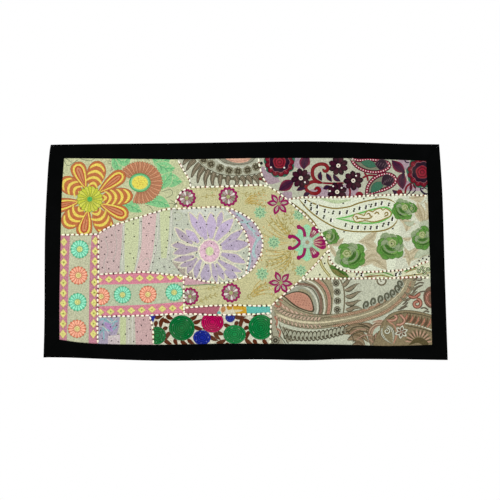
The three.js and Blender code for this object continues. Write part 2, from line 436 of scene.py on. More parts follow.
def cloth_piece(node, name, cloth, thickness, spacing, plump, material):
    """One printed and stitched piece of the hanging, standing for its CAD node."""
    ring = even_ring(RINGS[node], SEAM_SPACING)
    places, faces = triangles(ring, cloth.shapes, spacing)
    middles = places[faces].mean(1)
    colours = np.tile(np.asarray(cloth.ground, float), (len(faces), 1))
    lifted = np.zeros(len(faces))
    threads = places[faces].copy()
    for outline, colour, lift, rows in cloth.shapes:
        low, high = outline.min(0), outline.max(0)
        near = np.flatnonzero(((middles >= low) & (middles <= high)).all(1))
        if not len(near):
            continue
        hit = near[inside(outline, middles[near])]
        colours[hit] = colour
        lifted[hit] = lift
        if rows is not None and len(hit):
            threads[hit] = stitch_place(rows, places[faces[hit]].reshape(-1, 2)).reshape(-1, 3, 2)
    raised = np.full(len(places), np.inf)
    for i in range(3):
        np.minimum.at(raised, faces[:, i], lifted)
    raised[np.isinf(raised)] = 0
    front, back = front_height(places, ring, thickness, plump)
    piece = closed_sheet(name, places, faces, front + raised, back, colours, lifted, threads, cloth.ground)
    piece.data.materials.append(material)
    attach(piece, "root")
    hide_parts(node)


# Materials

def feed(tree, socket, value):
    """Sets a socket, or joins another one to it."""
    if isinstance(value, bpy.types.NodeSocket):
        tree.links.new(value, socket)
    else:
        socket.default_value = value


def add_node(tree, kind, values=(), **settings):
    node = tree.nodes.new(kind)
    for key, value in settings.items():
        setattr(node, key, value)
    for key, value in dict(values).items():
        feed(tree, node.inputs[key], value)
    return node


def calc(tree, operation, *values):
    return add_node(tree, "ShaderNodeMath", dict(enumerate(values)), operation=operation).outputs[0]


def new_group(name, inputs, outputs):
    """A shader node group with named sockets. Inputs are (name, kind, value)."""
    tree = bpy.data.node_groups.new(name, "ShaderNodeTree")
    for label, kind, value in inputs:
        socket = tree.interface.new_socket(label, in_out="INPUT", socket_type="NodeSocket" + kind)
        if value is not None:
            socket.default_value = value
    for label in outputs:
        tree.interface.new_socket(label, in_out="OUTPUT", socket_type="NodeSocketFloat")
    return tree, tree.nodes.new("NodeGroupInput").outputs, tree.nodes.new("NodeGroupOutput").inputs


def woven_threads():
    """Plain weave: threads of a pitch in metres, over and under one another."""
    tree, given, result = new_group(
        "Woven threads", [("Place", "Vector", None), ("Pitch", "Float", 0.001)], ["Height"])
    part = add_node(tree, "ShaderNodeSeparateXYZ", {0: given["Place"]})
    turns = [calc(tree, "DIVIDE", part.outputs[i], given["Pitch"]) for i in (0, 1)]
    waves = [calc(tree, "SINE", calc(tree, "MULTIPLY", math.pi, turn)) for turn in turns]
    over = calc(tree, "GREATER_THAN", calc(tree, "MULTIPLY", *waves), 0.0)
    warp, weft = (calc(tree, "ABSOLUTE", wave) for wave in waves)
    warp_up = calc(tree, "MULTIPLY", warp, over)
    weft_up = calc(tree, "MULTIPLY", weft, calc(tree, "SUBTRACT", 1.0, over))
    tree.links.new(calc(tree, "ADD", warp_up, weft_up), result["Height"])
    return tree


def stitched_rows():
    """Embroidery: rows of stitches side by side, each row set off by half a stitch."""
    tree, given, result = new_group(
        "Stitched rows",
        [("Place", "Vector", None), ("Row", "Float", 0.002), ("Stitch", "Float", 0.005)], ["Height"])
    part = add_node(tree, "ShaderNodeSeparateXYZ", {0: given["Place"]})
    across = calc(tree, "DIVIDE", part.outputs[0], given["Row"])
    shift = calc(tree, "MULTIPLY", 0.5, calc(tree, "FLOOR", across))
    along = calc(tree, "ADD", shift, calc(tree, "DIVIDE", part.outputs[1], given["Stitch"]))
    round_row, round_stitch = (
        calc(tree, "ABSOLUTE", calc(tree, "SINE", calc(tree, "MULTIPLY", math.pi, value)))
        for value in (across, along))
    row = calc(tree, "POWER", round_row, 0.6)
    stitch = calc(tree, "POWER", round_stitch, 0.4)
    tree.links.new(calc(tree, "MULTIPLY", row, stitch), result["Height"])
    return tree


def worn_cloth():
    """Where old cloth has faded in patches, and its small flecks."""
    tree, given, result = new_group(
        "Worn cloth", [("Place", "Vector", None), ("Patch", "Float", 0.05)], ["Fade", "Fleck"])
    patch = add_node(tree, "ShaderNodeCombineXYZ", {i: given["Patch"] for i in range(3)}).outputs[0]
    scaled = add_node(tree, "ShaderNodeVectorMath", {0: given["Place"], 1: patch}, operation="DIVIDE")
    for label, scale, low, high in (("Fade", 1.0, 0.42, 0.68), ("Fleck", 16.0, 0.36, 0.66)):
        grain = add_node(tree, "ShaderNodeTexNoise",
                         {"Vector": scaled.outputs[0], "Scale": scale, "Detail": 3.0})
        ranged = add_node(tree, "ShaderNodeMapRange", {0: grain.outputs[0], 1: low, 2: high})
        tree.links.new(ranged.outputs[0], result[label])
    return tree


WEAVE = woven_threads()
ROWS = stitched_rows()
WORN = worn_cloth()


def use_group(tree, group, values):
    return add_node(tree, "ShaderNodeGroup", values, node_tree=group).outputs


def blend_colour(tree, kind, share, one, two):
    return add_node(tree, "ShaderNodeMix", {0: share, 6: one, 7: two}, data_type="RGBA",
                    blend_type=kind).outputs[2]


WEAVE_SHARE = 0.3          # how deep the weave is beside the rows of stitches
WORN_PATCH = 0.045         # size in metres of the places where the cloth has faded
PAINTED_HOLLOW_SHADE = 0.84              # painted shade: how much darker the colour is made between the threads
PAINTED_CREST_HIGHLIGHT = 0.34               # painted highlight: how much lighter the colour is made on top of them


def cloth_material(name, pitch=0.0011, row=0.0021, stitch=0.0052, fade=0.05, fleck=0.34,
                   faded=(0.42, 0.38, 0.26), depth=0.0006, sheen=0.03, rough=0.9, shine=0.06):
    """Dyed or printed cotton whose stitched parts stand up in rows. Its colours are on the mesh, darkened by
    painted shade between the threads and lightened by painted highlight on their tops.
    """
    material = bpy.data.materials.new(name)
    material.use_nodes = True
    tree = material.node_tree
    shader = tree.nodes["Principled BSDF"]
    colour = add_node(tree, "ShaderNodeAttribute", attribute_name="dye").outputs["Color"]
    relief = add_node(tree, "ShaderNodeAttribute", attribute_name="relief").outputs["Fac"]
    flat_place = add_node(tree, "ShaderNodeUVMap", uv_map="cloth").outputs[0]
    row_place = add_node(tree, "ShaderNodeUVMap", uv_map="thread").outputs[0]
    solid_place = add_node(tree, "ShaderNodeTexCoord").outputs["Object"]
    weave = use_group(tree, WEAVE, {"Place": flat_place, "Pitch": pitch})["Height"]
    rows = use_group(tree, ROWS, {"Place": row_place, "Row": row, "Stitch": stitch})["Height"]
    worn = use_group(tree, WORN, {"Place": solid_place, "Patch": WORN_PATCH})
    weave = calc(tree, "MULTIPLY", weave, WEAVE_SHARE)
    height = add_node(tree, "ShaderNodeMix", {0: relief, 2: weave, 3: rows}).outputs[0]
    pale = blend_colour(tree, "MIX", calc(tree, "MULTIPLY", worn["Fade"], fade), colour, (*faded, 1))
    # painted shade and highlight: the colour is darkened in the hollows of the weave and stitches and
    # lightened on their crests, then darkened at random by the cloth's own flecks
    shade_and_fleck = calc(tree, "ADD", calc(tree, "MULTIPLY", height, PAINTED_CREST_HIGHLIGHT), PAINTED_HOLLOW_SHADE)
    shade_and_fleck = calc(tree, "SUBTRACT", shade_and_fleck, calc(tree, "MULTIPLY", worn["Fleck"], fleck))
    shade_and_fleck_colour = add_node(tree, "ShaderNodeCombineColor", {i: shade_and_fleck for i in range(3)}).outputs[0]
    bump = add_node(tree, "ShaderNodeBump", {"Height": height, "Strength": 0.6, "Distance": depth})
    for label, value in (("Base Color", blend_colour(tree, "MULTIPLY", 1.0, pale, shade_and_fleck_colour)),
                         ("Normal", bump.outputs[0]), ("Roughness", rough), ("Sheen Weight", sheen),
                         ("Specular IOR Level", shine)):
        feed(tree, shader.inputs[label], value)
    return material


# What the pieces are printed and embroidered with

RUST = dye(186, 110, 66)
YELLOW = dye(230, 208, 94)
MINT = dye(132, 196, 136)
MINT_DEEP = dye(72, 166, 104)
PINK = dye(226, 142, 160)
PINK_DUSTY = dye(206, 138, 155)
MAGENTA = dye(144, 23, 86)
BLACK = dye(28, 24, 22)
SEED_TURN = 137.5          # degrees between one seed or knot and the next, so that they spread evenly


def drawn_lines(cloth, colour, width, lines):
    for points in lines:
        cloth.lay(stroke(points, width), colour)


def coated_lines(cloth, coats, lines):
    """Lines drawn several times over, each time in another width and colour."""
    for width, colour in coats:
        drawn_lines(cloth, colour, width, lines)


def nested_discs(cloth, at, *coats):
    for radius, colour in coats:
        cloth.lay(disc(at, radius), colour)


def laid_leaves(cloth, colour, leaves, lift=0.0, rows=None, edge=None, line=0.9):
    """Leaves in one colour. Each is (middle line, width)."""
    for points, width in leaves:
        cloth.lay(leaf(points, width), colour, lift, rows, edge, line)


def panels(cloth, *strips):
    """Stripes of a cloth's ground. Each is (left edge, right edge, colour)."""
    for left, right, colour in strips:
        cloth.lay(strip(left, right), colour)


def banded_petal(cloth, heart, angle, reach, width):
    """A rust petal crossed by five arched yellow bands."""
    petal = drop(ray(heart, angle, 20, reach), width, 0.62)
    cloth.lay(petal, RUST, 0.3, ("line", angle + 90), dye(150, 84, 44))
    across = np.linspace(-1, 1, 11)
    bulge = 12 * (1 - across ** 2)
    for k, step in enumerate((0, 17, 32.5, 46.5, 58)):
        crown = reach - 18 - step
        share = (crown - 20) / (reach - 20)
        half = width / 2 * (0.9 if share > 0.35 else 0.9 * math.sin(math.pi / 2 * max(share, 0.1) / 0.4))
        if k == 0:
            half *= 0.9
        band = np.vstack([
            np.column_stack([crown + bulge, half * across]),
            np.column_stack([crown + bulge * 0.92 - 6, half * across])[::-1],
        ])
        cloth.lay(place_round(heart, band, angle), YELLOW, 0.45, ("line", angle + 90))


def marigold_print():
    cloth = Print(dye(208, 212, 166), (-470, -235))
    marigold_leaves(cloth)
    small_marigold(cloth, (208, 135))
    large_marigold(cloth, (84, 94))
    return cloth


def marigold_leaves(cloth):
    drawn_lines(cloth, dye(132, 142, 110), 1.7, (
        [(20, 191), (30, 177), (55, 192)], [(124, 189), (137, 187), (144, 172), (133, 163)],
        [(261, 112), (284, 118), (288, 105), (272, 96)], [(288, 156), (298, 151), (308, 142)],
        [(221, 80), (233, 75), (243, 62)], [(15, 164), (22, 155)], [(233, 189), (223, 196)],
        [(283, 92), (295, 84), (288, 72)], [(99, 27), (119, 32), (131, 25)],
        [(60, 194), (84, 189), (97, 196)], [(15, 191), (25, 195), (40, 184)],
        [(129, 184), (139, 179), (136, 166)], [(179, 77), (193, 70), (203, 77)],
        [(273, 77), (285, 84), (300, 77)], [(149, 67), (164, 57), (179, 60)],
        [(15, 142), (20, 132), (15, 122)],
    ))
    for points, width in (
        ([(140, 201), (151, 181), (156, 159)], 26), ([(149, 194), (169, 186), (186, 201)], 20),
        ([(238, 196), (260, 184), (285, 201)], 26), ([(248, 184), (270, 171), (295, 171)], 32),
        ([(258, 151), (280, 142), (313, 137)], 34), ([(260, 117), (270, 137), (288, 161)], 30),
        ([(221, 83), (251, 89), (283, 75)], 29), ([(159, 86), (186, 77), (213, 62)], 27),
    ):
        cloth.lay(leaf(points, width), MINT, 0.15, ("line", 20), dye(186, 200, 150), 1.2)
        cloth.lay(stroke(points, 1.4), MINT_DEEP, 0.15)
        spine = curve(points, 9)
        for k in (2, 4, 6):
            way = math.degrees(math.atan2(*(spine[k + 1] - spine[k])[::-1]))
            for turn in (38, -38):
                cloth.lay(stroke(ray(spine[k], way + turn, 0.8, width * 0.42), 1.5),
                          dye(186, 204, 150) if turn > 0 else dye(92, 148, 108), 0.15)


def small_marigold(cloth, heart):
    """Short rust petals, open at the left, round a mint ring and a yellow heart."""
    for k, angle in enumerate(range(-106, 154, 7)):
        reach = 57 - 4 * abs(math.sin(math.radians(angle)))
        petal = drop(ray(heart, angle, 22, reach), 6, 0.82)
        cloth.lay(petal, (dye(200, 142, 108), dye(184, 122, 90))[k % 2], 0.25, ("ray", heart),
                  dye(136, 98, 64), 1.0)
    for radius, squash, colour, lift in (
        (27, 0.86, MINT_DEEP, 0.35), (24, 0.84, MINT, 0.4), (20, 0.84, dye(226, 214, 92), 0.5),
    ):
        cloth.lay(disc(heart, radius, squash), colour, lift, ("ring", heart))
    for k in range(14):
        cloth.lay(disc(polar(heart, SEED_TURN * k, 1.3 * k + 2), 1.6), dye(206, 176, 74), 0.55)


def large_marigold(cloth, heart):
    """Ten long petals, plain and banded in turn, round a ribbed yellow heart."""
    for angle, reach, width in (
        (111, 98, 38), (37.5, 108, 36), (-24.4, 104, 37), (-100.6, 95, 38), (-168, 94, 34),
    ):
        for shrink, colour, lift in (
            (0, RUST, 0.3), (4.6, YELLOW, 0.4), (9.2, dye(180, 84, 52), 0.45),
            (12.8, dye(204, 136, 94), 0.5),
        ):
            petal = drop(ray(heart, angle, 22 + shrink, reach - shrink), width - 2 * shrink, 0.76)
            cloth.lay(petal, colour, lift, ("line", angle), None if shrink else dye(150, 84, 44))
        cloth.lay(stroke(ray(heart, angle, 42, reach - 18), 1.8), dye(160, 78, 52), 0.5)
    for angle, reach, width in (
        (76, 97, 45), (5, 107, 42), (-61, 98, 47), (-133, 94, 45), (146, 87, 43),
    ):
        banded_petal(cloth, heart, angle, reach, width)
    cloth.lay(bloom(heart, 33, 20, 0.16, 0, 0.93), dye(118, 140, 48), 0.55, ("ray", heart))
    for angle in range(0, 360, 18):
        cloth.lay(drop(ray(heart, angle, 5, 32), 8.6, 0.88),
                  (dye(206, 208, 84), dye(196, 200, 66))[angle // 18 % 2],
                  0.65, ("ray", heart), dye(126, 144, 44), 1.3)
    cloth.lay(bloom(heart, 6.7, 7, 0.14), dye(72, 176, 92), 0.75, ("ring", heart))


def banded_rosette(cloth, at, petal, light, heart, radius):
    """A band's daisy: narrow petals laid round a small bead-like heart, each petal with a paler drop as
    painted highlight.
    """
    cloth.lay(bloom(at, radius, 16, 0.12), petal, 0.25, ("ray", at), dye(146, 150, 116), 0.8)
    # painted highlight: a paler drop down the middle of each petal
    for k in range(16):
        cloth.lay(drop(ray(at, 22.5 * k + 11, radius * 0.3, radius * 0.94), radius * 0.22, 0.8), light,
                  0.35,
                  ("ray", at))
    cloth.lay(disc(at, radius * 0.3), heart, 0.45, ("ring", at), dye(150, 146, 96), 0.9)
    cloth.lay(disc(at, radius * 0.15), dye(216, 214, 130), 0.5, None, dye(170, 158, 80), 0.8)


def diamonds(cloth, start, end, count, half_width, half_height):
    """A row of yellow diamonds, joined tip to tip along a pink edging."""
    for k in range(count):
        share = k / (count - 1)
        at = np.array(start) * (1 - share) + np.array(end) * share
        points = [(half_width, 0), (0, half_height), (-half_width, 0), (0, -half_height)]
        cloth.lay(np.array(points) + at, dye(222, 214, 130), 0.3, ("line", 45), dye(182, 130, 108), 1.2)
        cloth.lay(bloom(at, 2.4 if k % 3 else 1.4, 4, 0.2), dye(150, 160, 70), 0.4)


# Each is (petal, painted highlight on the petal, heart).
PETAL_MINT = (dye(84, 178, 138), dye(150, 232, 196), dye(206, 222, 142))
PETAL_PEACH = (dye(206, 116, 88), dye(248, 180, 150), dye(238, 208, 150))


def upright_band_print():
    cloth = Print(dye(204, 206, 172), (-470, -510))
    panels(cloth, ([(5, 285), (5, 5)], [(35, 285), (32, 193), (27, 5)], PINK_DUSTY),
           ([(89, 288), (84, 193), (81, 5)], [(112, 288), (112, 5)], PINK_DUSTY))
    diamonds(cloth, (20, 263), (18, 35), 10, 8.4, 11)
    diamonds(cloth, (98, 266), (93, 35), 10, 8.2, 11)
    for k, at in enumerate(((59, 245), (56, 180), (54, 114), (53, 48))):
        banded_rosette(cloth, at, *(PETAL_MINT, PETAL_PEACH)[k % 2], 23)
    return cloth


def level_band_print():
    cloth = Print(dye(196, 208, 174), (-375, -440))
    panels(cloth, ([(4, 123), (227, 123)], [(4, 87), (113, 89), (227, 94)], PINK),
           ([(4, 33), (113, 37), (227, 45)], [(4, 4), (227, 4)], PINK))
    diamonds(cloth, (11, 99), (214, 107), 9, 10, 8.4)
    diamonds(cloth, (15, 19), (220, 30), 9, 10, 8.4)
    for k, at in enumerate(((17, 58), (70, 62), (133, 63), (198, 68))):
        banded_rosette(cloth, at, *(PETAL_PEACH, PETAL_MINT)[k % 2], 22)
    return cloth


def blunt_petal(points, width):
    """Narrow at its root, even along its middle and rounded at its tip."""
    return swept(points, lambda t: width / 2 * np.clip(0.34 + 1.3 * t, 0, 1)
                 * np.clip((1 - t) / 0.42, 0, 1) ** 0.7 + TIP)


def striped_flower_print():
    cloth = Print(dye(204, 210, 190), (-370, -345))
    mauve, rose, green = dye(214, 188, 184), dye(226, 196, 192), dye(212, 220, 174)
    panels(
        cloth, ([(2, 140), (2, 8)], [(66, 147), (62, 78), (55, 8)], mauve),
        ([(71, 162), (70, 78), (71, 8)], [(107, 172), (103, 78), (92, 8)], green),
        ([(114, 177), (111, 83), (93, 8)], [(151, 190), (142, 83), (127, 8)], rose),
        ([(157, 192), (159, 113), (161, 58)], [(184, 192), (179, 113), (174, 58)], green),
    )
    drawn_lines(cloth, dye(224, 222, 208), 2.2, (
        [(69, 167), (66, 78), (62, 8)], [(111, 182), (107, 83), (93, 8)],
        [(154, 192), (151, 103), (138, 48), (131, 8)], [(187, 190), (183, 103), (175, 48)],
    ))
    drawn_lines(cloth, dye(188, 186, 176), 1.3, (
        [(64, 137), (67, 93), (59, 48), (61, 8)], [(110, 167), (112, 113), (102, 63), (90, 8)],
        [(154, 187), (156, 132), (148, 78), (134, 13)], [(190, 182), (189, 128), (183, 63), (178, 33)],
        [(113, 48), (128, 58), (133, 38), (123, 18)], [(158, 48), (173, 33), (163, 13)],
        [(19, 113), (29, 78), (19, 43), (27, 11)], [(46, 128), (51, 88), (41, 48)],
    ))
    heart = (281, 75)
    cloth.lay(leaf([(208, 175), (272, 172), (337, 167)], 25), dye(220, 224, 210))
    cloth.lay(leaf([(188, 48), (222, 33), (262, 4)], 37), dye(180, 168, 156))
    cloth.lay(leaf([(198, 58), (217, 51), (242, 48)], 15), dye(164, 150, 156))
    # painted shade: the petals are made lightest at the top and darkest at the left
    high, right, low, left = dye(194, 178, 204), dye(182, 168, 190), dye(180, 168, 188), dye(174, 160, 174)
    petals = []
    for root, tip, start, reach, width, colour in (
        (116, 118, 40, 107, 18, high), (107, 105, 30, 97, 21, high), (84, 88, 32, 94, 25, high),
        (71, 73, 64, 102, 14, right), (61, 54, 31, 99, 26, high), (27, 33, 32, 98, 18, right),
        (15, 11, 32, 99, 26, right), (-13, -18, 30, 93, 20, right), (-46, -33, 31, 94, 15, right),
        (-52, -44, 62, 94, 19, low), (-62, -63, 35, 79, 15, low), (-77, -77, 31, 79, 13, low),
        (-101, -98, 33, 82, 26, low), (-135, -117, 30, 77, 15, low), (-151, -135, 36, 79, 14, left),
        (-149, -153, 47, 84, 12, left), (-162, -166, 41, 92, 14, left), (170, 184, 30, 89, 21, left),
        (168, 171, 62, 94, 14, left), (156, 146, 47, 102, 16, left), (141, 138, 35, 79, 20, high),
    ):
        middle = [polar(heart, root, start), polar(heart, (root + tip) / 2, (start + reach) / 2),
                  polar(heart, tip, reach)]
        petals.append((blunt_petal(middle, width), middle, colour))
    for petal, _, _ in petals:
        cloth.lay(grown(petal, 3.8), dye(218, 213, 186), 0.2)
    for petal, middle, colour in petals:
        cloth.lay(petal, colour, 0.3, ("line", 0), dye(190, 184, 176), 0.9)
        cloth.lay(stroke([middle[0], middle[1]], 1.1), dye(168, 154, 182), 0.3)
    cloth.lay(disc(heart, 28, 1.1), dye(228, 222, 198), 0.3)
    cloth.lay(bloom(heart, 25, 12, 0.05, 0, 1.1), dye(216, 178, 192), 0.4, ("ring", heart))
    for k in range(12):
        cloth.lay(disc(polar(heart, 30 * k + 8, 18), 4.2), dye(224, 188, 202), 0.45)
    cloth.lay(disc(heart, 10, 1.12), dye(206, 216, 166), 0.5, ("ring", heart))
    drawn_lines(cloth, dye(190, 196, 160), 1.3, (
        [(188, 167), (203, 172), (213, 162), (203, 150), (193, 155)], [(190, 48), (208, 38), (217, 23)],
        [(222, 175), (232, 162), (227, 145)], [(198, 33), (183, 23)], [(346, 165), (356, 147), (351, 130)],
    ))
    return cloth


def crescent_print():
    cloth = Print(dye(194, 180, 194), (-30, -325))
    cloth.lay(leaf([(36, 98), (46, 75), (41, 48)], 18), dye(214, 172, 190))
    for points, width in (
        ([(6, 150), (26, 135), (41, 112), (56, 103)], 5), ([(16, 127), (34, 127), (51, 135)], 4),
        ([(71, 93), (56, 78), (49, 53), (56, 38)], 6), ([(34, 3), (41, 28), (41, 48)], 4),
        ([(46, 112), (54, 93), (71, 83)], 3),
    ):
        cloth.lay(stroke(points, width * 1.15), dye(176, 205, 205))
    return cloth


def wheel_flower(cloth, at, radius):
    """A magenta wheel whose spokes leave pale wedges between them."""
    cloth.lay(bloom(at, radius, 13, 0.14), MAGENTA, 0.3, ("ray", at))
    for k in range(13):
        wedge = drop(ray(at, 360 / 13 * k, radius * 0.2, radius * 0.74), radius * 0.25, 0.85)
        cloth.lay(wedge, (dye(134, 136, 110), dye(220, 214, 206), dye(164, 158, 146))[k % 3], 0.35,
                  ("ray", at))
    cloth.lay(bloom(at, radius * 0.22, 6, 0.2), dye(166, 176, 116), 0.45)


def star_flower(cloth, at, radius, angles):
    for angle in angles:
        cloth.lay(leaf(ray(at, angle, radius * 0.08, radius * 1.03), radius * 0.52), MAGENTA, 0.3,
                  ("line", angle))
        cloth.lay(leaf(ray(at, angle, radius * 0.2, radius * 0.74), radius * 0.2), dye(176, 174, 150), 0.35)
        cloth.lay(stroke(ray(at, angle, radius * 0.25, radius * 0.6), 0.9), dye(140, 90, 110), 0.4)
    cloth.lay(disc(at, radius * 0.16), dye(150, 160, 104), 0.4)


def speckled_flower(cloth, at, radius):
    cloth.lay(bloom(at, radius, 8, 0.3), dye(162, 200, 154), 0.1)
    for k in range(8):
        cloth.lay(disc(polar(at, 45 * k + 4, radius * 0.66), radius * 0.1), dye(126, 172, 132))
        cloth.lay(disc(polar(at, 45 * k + 22, radius * 0.8), radius * 0.1), dye(206, 204, 150))
        cloth.lay(disc(polar(at, 45 * k + 20, radius * 0.5), radius * 0.11), dye(104, 156, 126))
    cloth.lay(disc(at, radius * 0.16), dye(120, 160, 120))


def sprig(cloth, points, colour, leaf_length, leaves):
    """A stem with small leaves on both sides."""
    cloth.lay(stroke(points, 1.3), colour)
    middle = curve(points, leaves + 2)
    for k in range(1, leaves + 1):
        way = math.degrees(math.atan2(*(middle[k + 1] - middle[k])[::-1]))
        for turn in (42, -42):
            cloth.lay(leaf(ray(middle[k], way + turn, 1.5, leaf_length), leaf_length * 0.3), colour)


def arch_print():
    cloth = Print(dye(210, 206, 156), (-170, -405))
    vine = dye(172, 158, 90)
    for points, size, leaves in (
        ([(308, 155), (280, 173), (256, 202), (226, 212)], 12, 7),
        ([(285, 168), (265, 207), (273, 232)], 11, 5),
        ([(303, 148), (275, 128), (246, 108), (216, 103)], 12, 7),
        ([(280, 133), (275, 103), (256, 83)], 11, 5), ([(295, 192), (280, 212), (290, 237)], 8.7, 3),
        ([(290, 118), (288, 93), (300, 73)], 8.7, 3), ([(57, 269), (82, 273), (99, 272)], 7.4, 2),
        ([(156, 279), (191, 274), (221, 287)], 9.9, 5), ([(47, 4), (77, 21), (104, 29)], 8.7, 4),
        ([(164, 14), (191, 29), (211, 49), (236, 56)], 11, 7),
        ([(70, 287), (92, 289), (104, 285)], 6.2, 2), ([(171, 254), (196, 254), (221, 242)], 8.7, 4),
        ([(65, 41), (89, 44), (107, 49)], 7.4, 3), ([(226, 29), (243, 24), (251, 14)], 7.4, 2),
    ):
        sprig(cloth, points, vine, size, leaves)
    for middle, first, last, reaches in (((305, 155), 128, 178, (114, 89, 99)),
                                         ((303, 145), 184, 232, (99, 82, 94)),
                                         ((156, 250), 0, 34, (64, 45, 55)),
                                         ((176, 16), 16, 56, (60, 42, 67))):
        for k in range(9):
            angle = first + (last - first) * k / 8
            reach = reaches[k % 3]
            line = [polar(middle, angle, reach * 0.24), polar(middle, angle + 5, reach * 0.6),
                    polar(middle, angle - 3, reach)]
            cloth.lay(leaf(line, 2.0), (vine, dye(206, 176, 96), dye(196, 168, 88))[k % 3])
            cloth.lay(disc(line[-1], 1.7), dye(214, 160, 90))
    random.seed(11)
    for _ in range(60):
        at = (random.uniform(20, 360), random.uniform(5, 295))
        cloth.lay(disc(at,
                       random.uniform(1.0,
                                      1.9)), random.choice((vine, dye(214, 160, 90), dye(160, 190, 120))))
    for at, radius in (
        ((206, 231), 16), ((240, 157), 16), ((211, 79), 16), ((307, 87), 15), ((302, 225), 15),
    ):
        speckled_flower(cloth, at, radius)
    panels(cloth, ([(8, 88), (45, 73), (82, 64)], [(13, 49), (47, 51), (82, 52)],
                   dye(212, 170, 176)))
    cloth.lay(stroke([(15, 50), (47, 51), (77, 53), (97, 50)], 2.6), dye(140, 160, 118))
    for at, radius in (((24, 267), 24), ((127, 270), 25), ((32, 23), 23), ((134, 32), 25)):
        wheel_flower(cloth, at, radius)
    star_flower(cloth, (252, 253), 29, (128, 176, 250, 310, 8, 62))
    star_flower(cloth, (257, 57), 30, (115, 47, -7, -58, -119, 180))
    curled_flower(cloth, (323, 157))
    return cloth


def curled_flower(cloth, at):
    """A magenta flower on a mint field, its back petals curled and its front ones fanned."""
    for angle, reach, width in (
        (92, 45, 20), (115, 42, 22), (150, 35, 20), (180, 27, 22), (208, 37, 20), (245, 45, 20),
        (268, 47, 22), (290, 42, 15), (70, 40, 15), (35, 37, 12), (325, 37, 12),
    ):
        cloth.lay(drop(ray(at, angle, 2, reach), width, 0.65), dye(148, 210, 166), 0.15, ("ray", at),
                  dye(178, 196, 140), 0.8)
    for side in (1, -1):
        curls = (
            ([(-17, 0), (-25, 8.7), (-35, 15), (-43, 14)], 7.7),
            ([(-6.2, 11), (-6.9, 22), (-11, 33), (-21, 38)], 7.7),
        )
        for points, width in curls:
            path = [(at[0] + x, at[1] + side * z) for x, z in points]
            cloth.lay(stroke(path, width), MAGENTA, 0.45, ("line", 90))
            cloth.lay(disc(path[-1], width * 0.75), MAGENTA, 0.5)
        cloth.lay(drop(ray(at, side * 57, 12, 43), 21, 0.78), dye(164, 160, 128), 0.35, ("line", 57))
        cloth.lay(drop(ray(at, side * 57, 26, 45), 22, 0.6), MAGENTA, 0.4, ("line", 57))
        for spread in (46, 54, 62, 69):
            cloth.lay(stroke(ray(at, side * spread, 15, 32), 2), MAGENTA, 0.4)
        for spread in (52, 60):
            cloth.lay(drop(ray(at, side * spread, 25, 35), 3.2, 0.8), dye(206, 190, 176), 0.45)
    for angle in (-26, 26):
        cloth.lay(leaf(ray(at, angle, 15, 37), 6.4), dye(160, 196, 150), 0.3)
    for angle in (-14, 14, 0):
        cloth.lay(drop(ray(at, angle, 16, 48), 15, 0.72), MAGENTA, 0.4, ("line", angle), dye(176, 120, 120))
        cloth.lay(drop(ray(at, angle, 17, 38), 6.9, 0.8), dye(156, 96, 92), 0.45)
        cloth.lay(stroke(ray(at, angle, 17, 33), 1.7), dye(208, 170, 152), 0.5)
    cloth.lay(bloom(at, 15, 9, 0.2), dye(178, 204, 180), 0.3, None, dye(140, 176, 150))
    cloth.lay(bloom(at, 5.5, 5, 0.2), dye(168, 150, 120), 0.4)


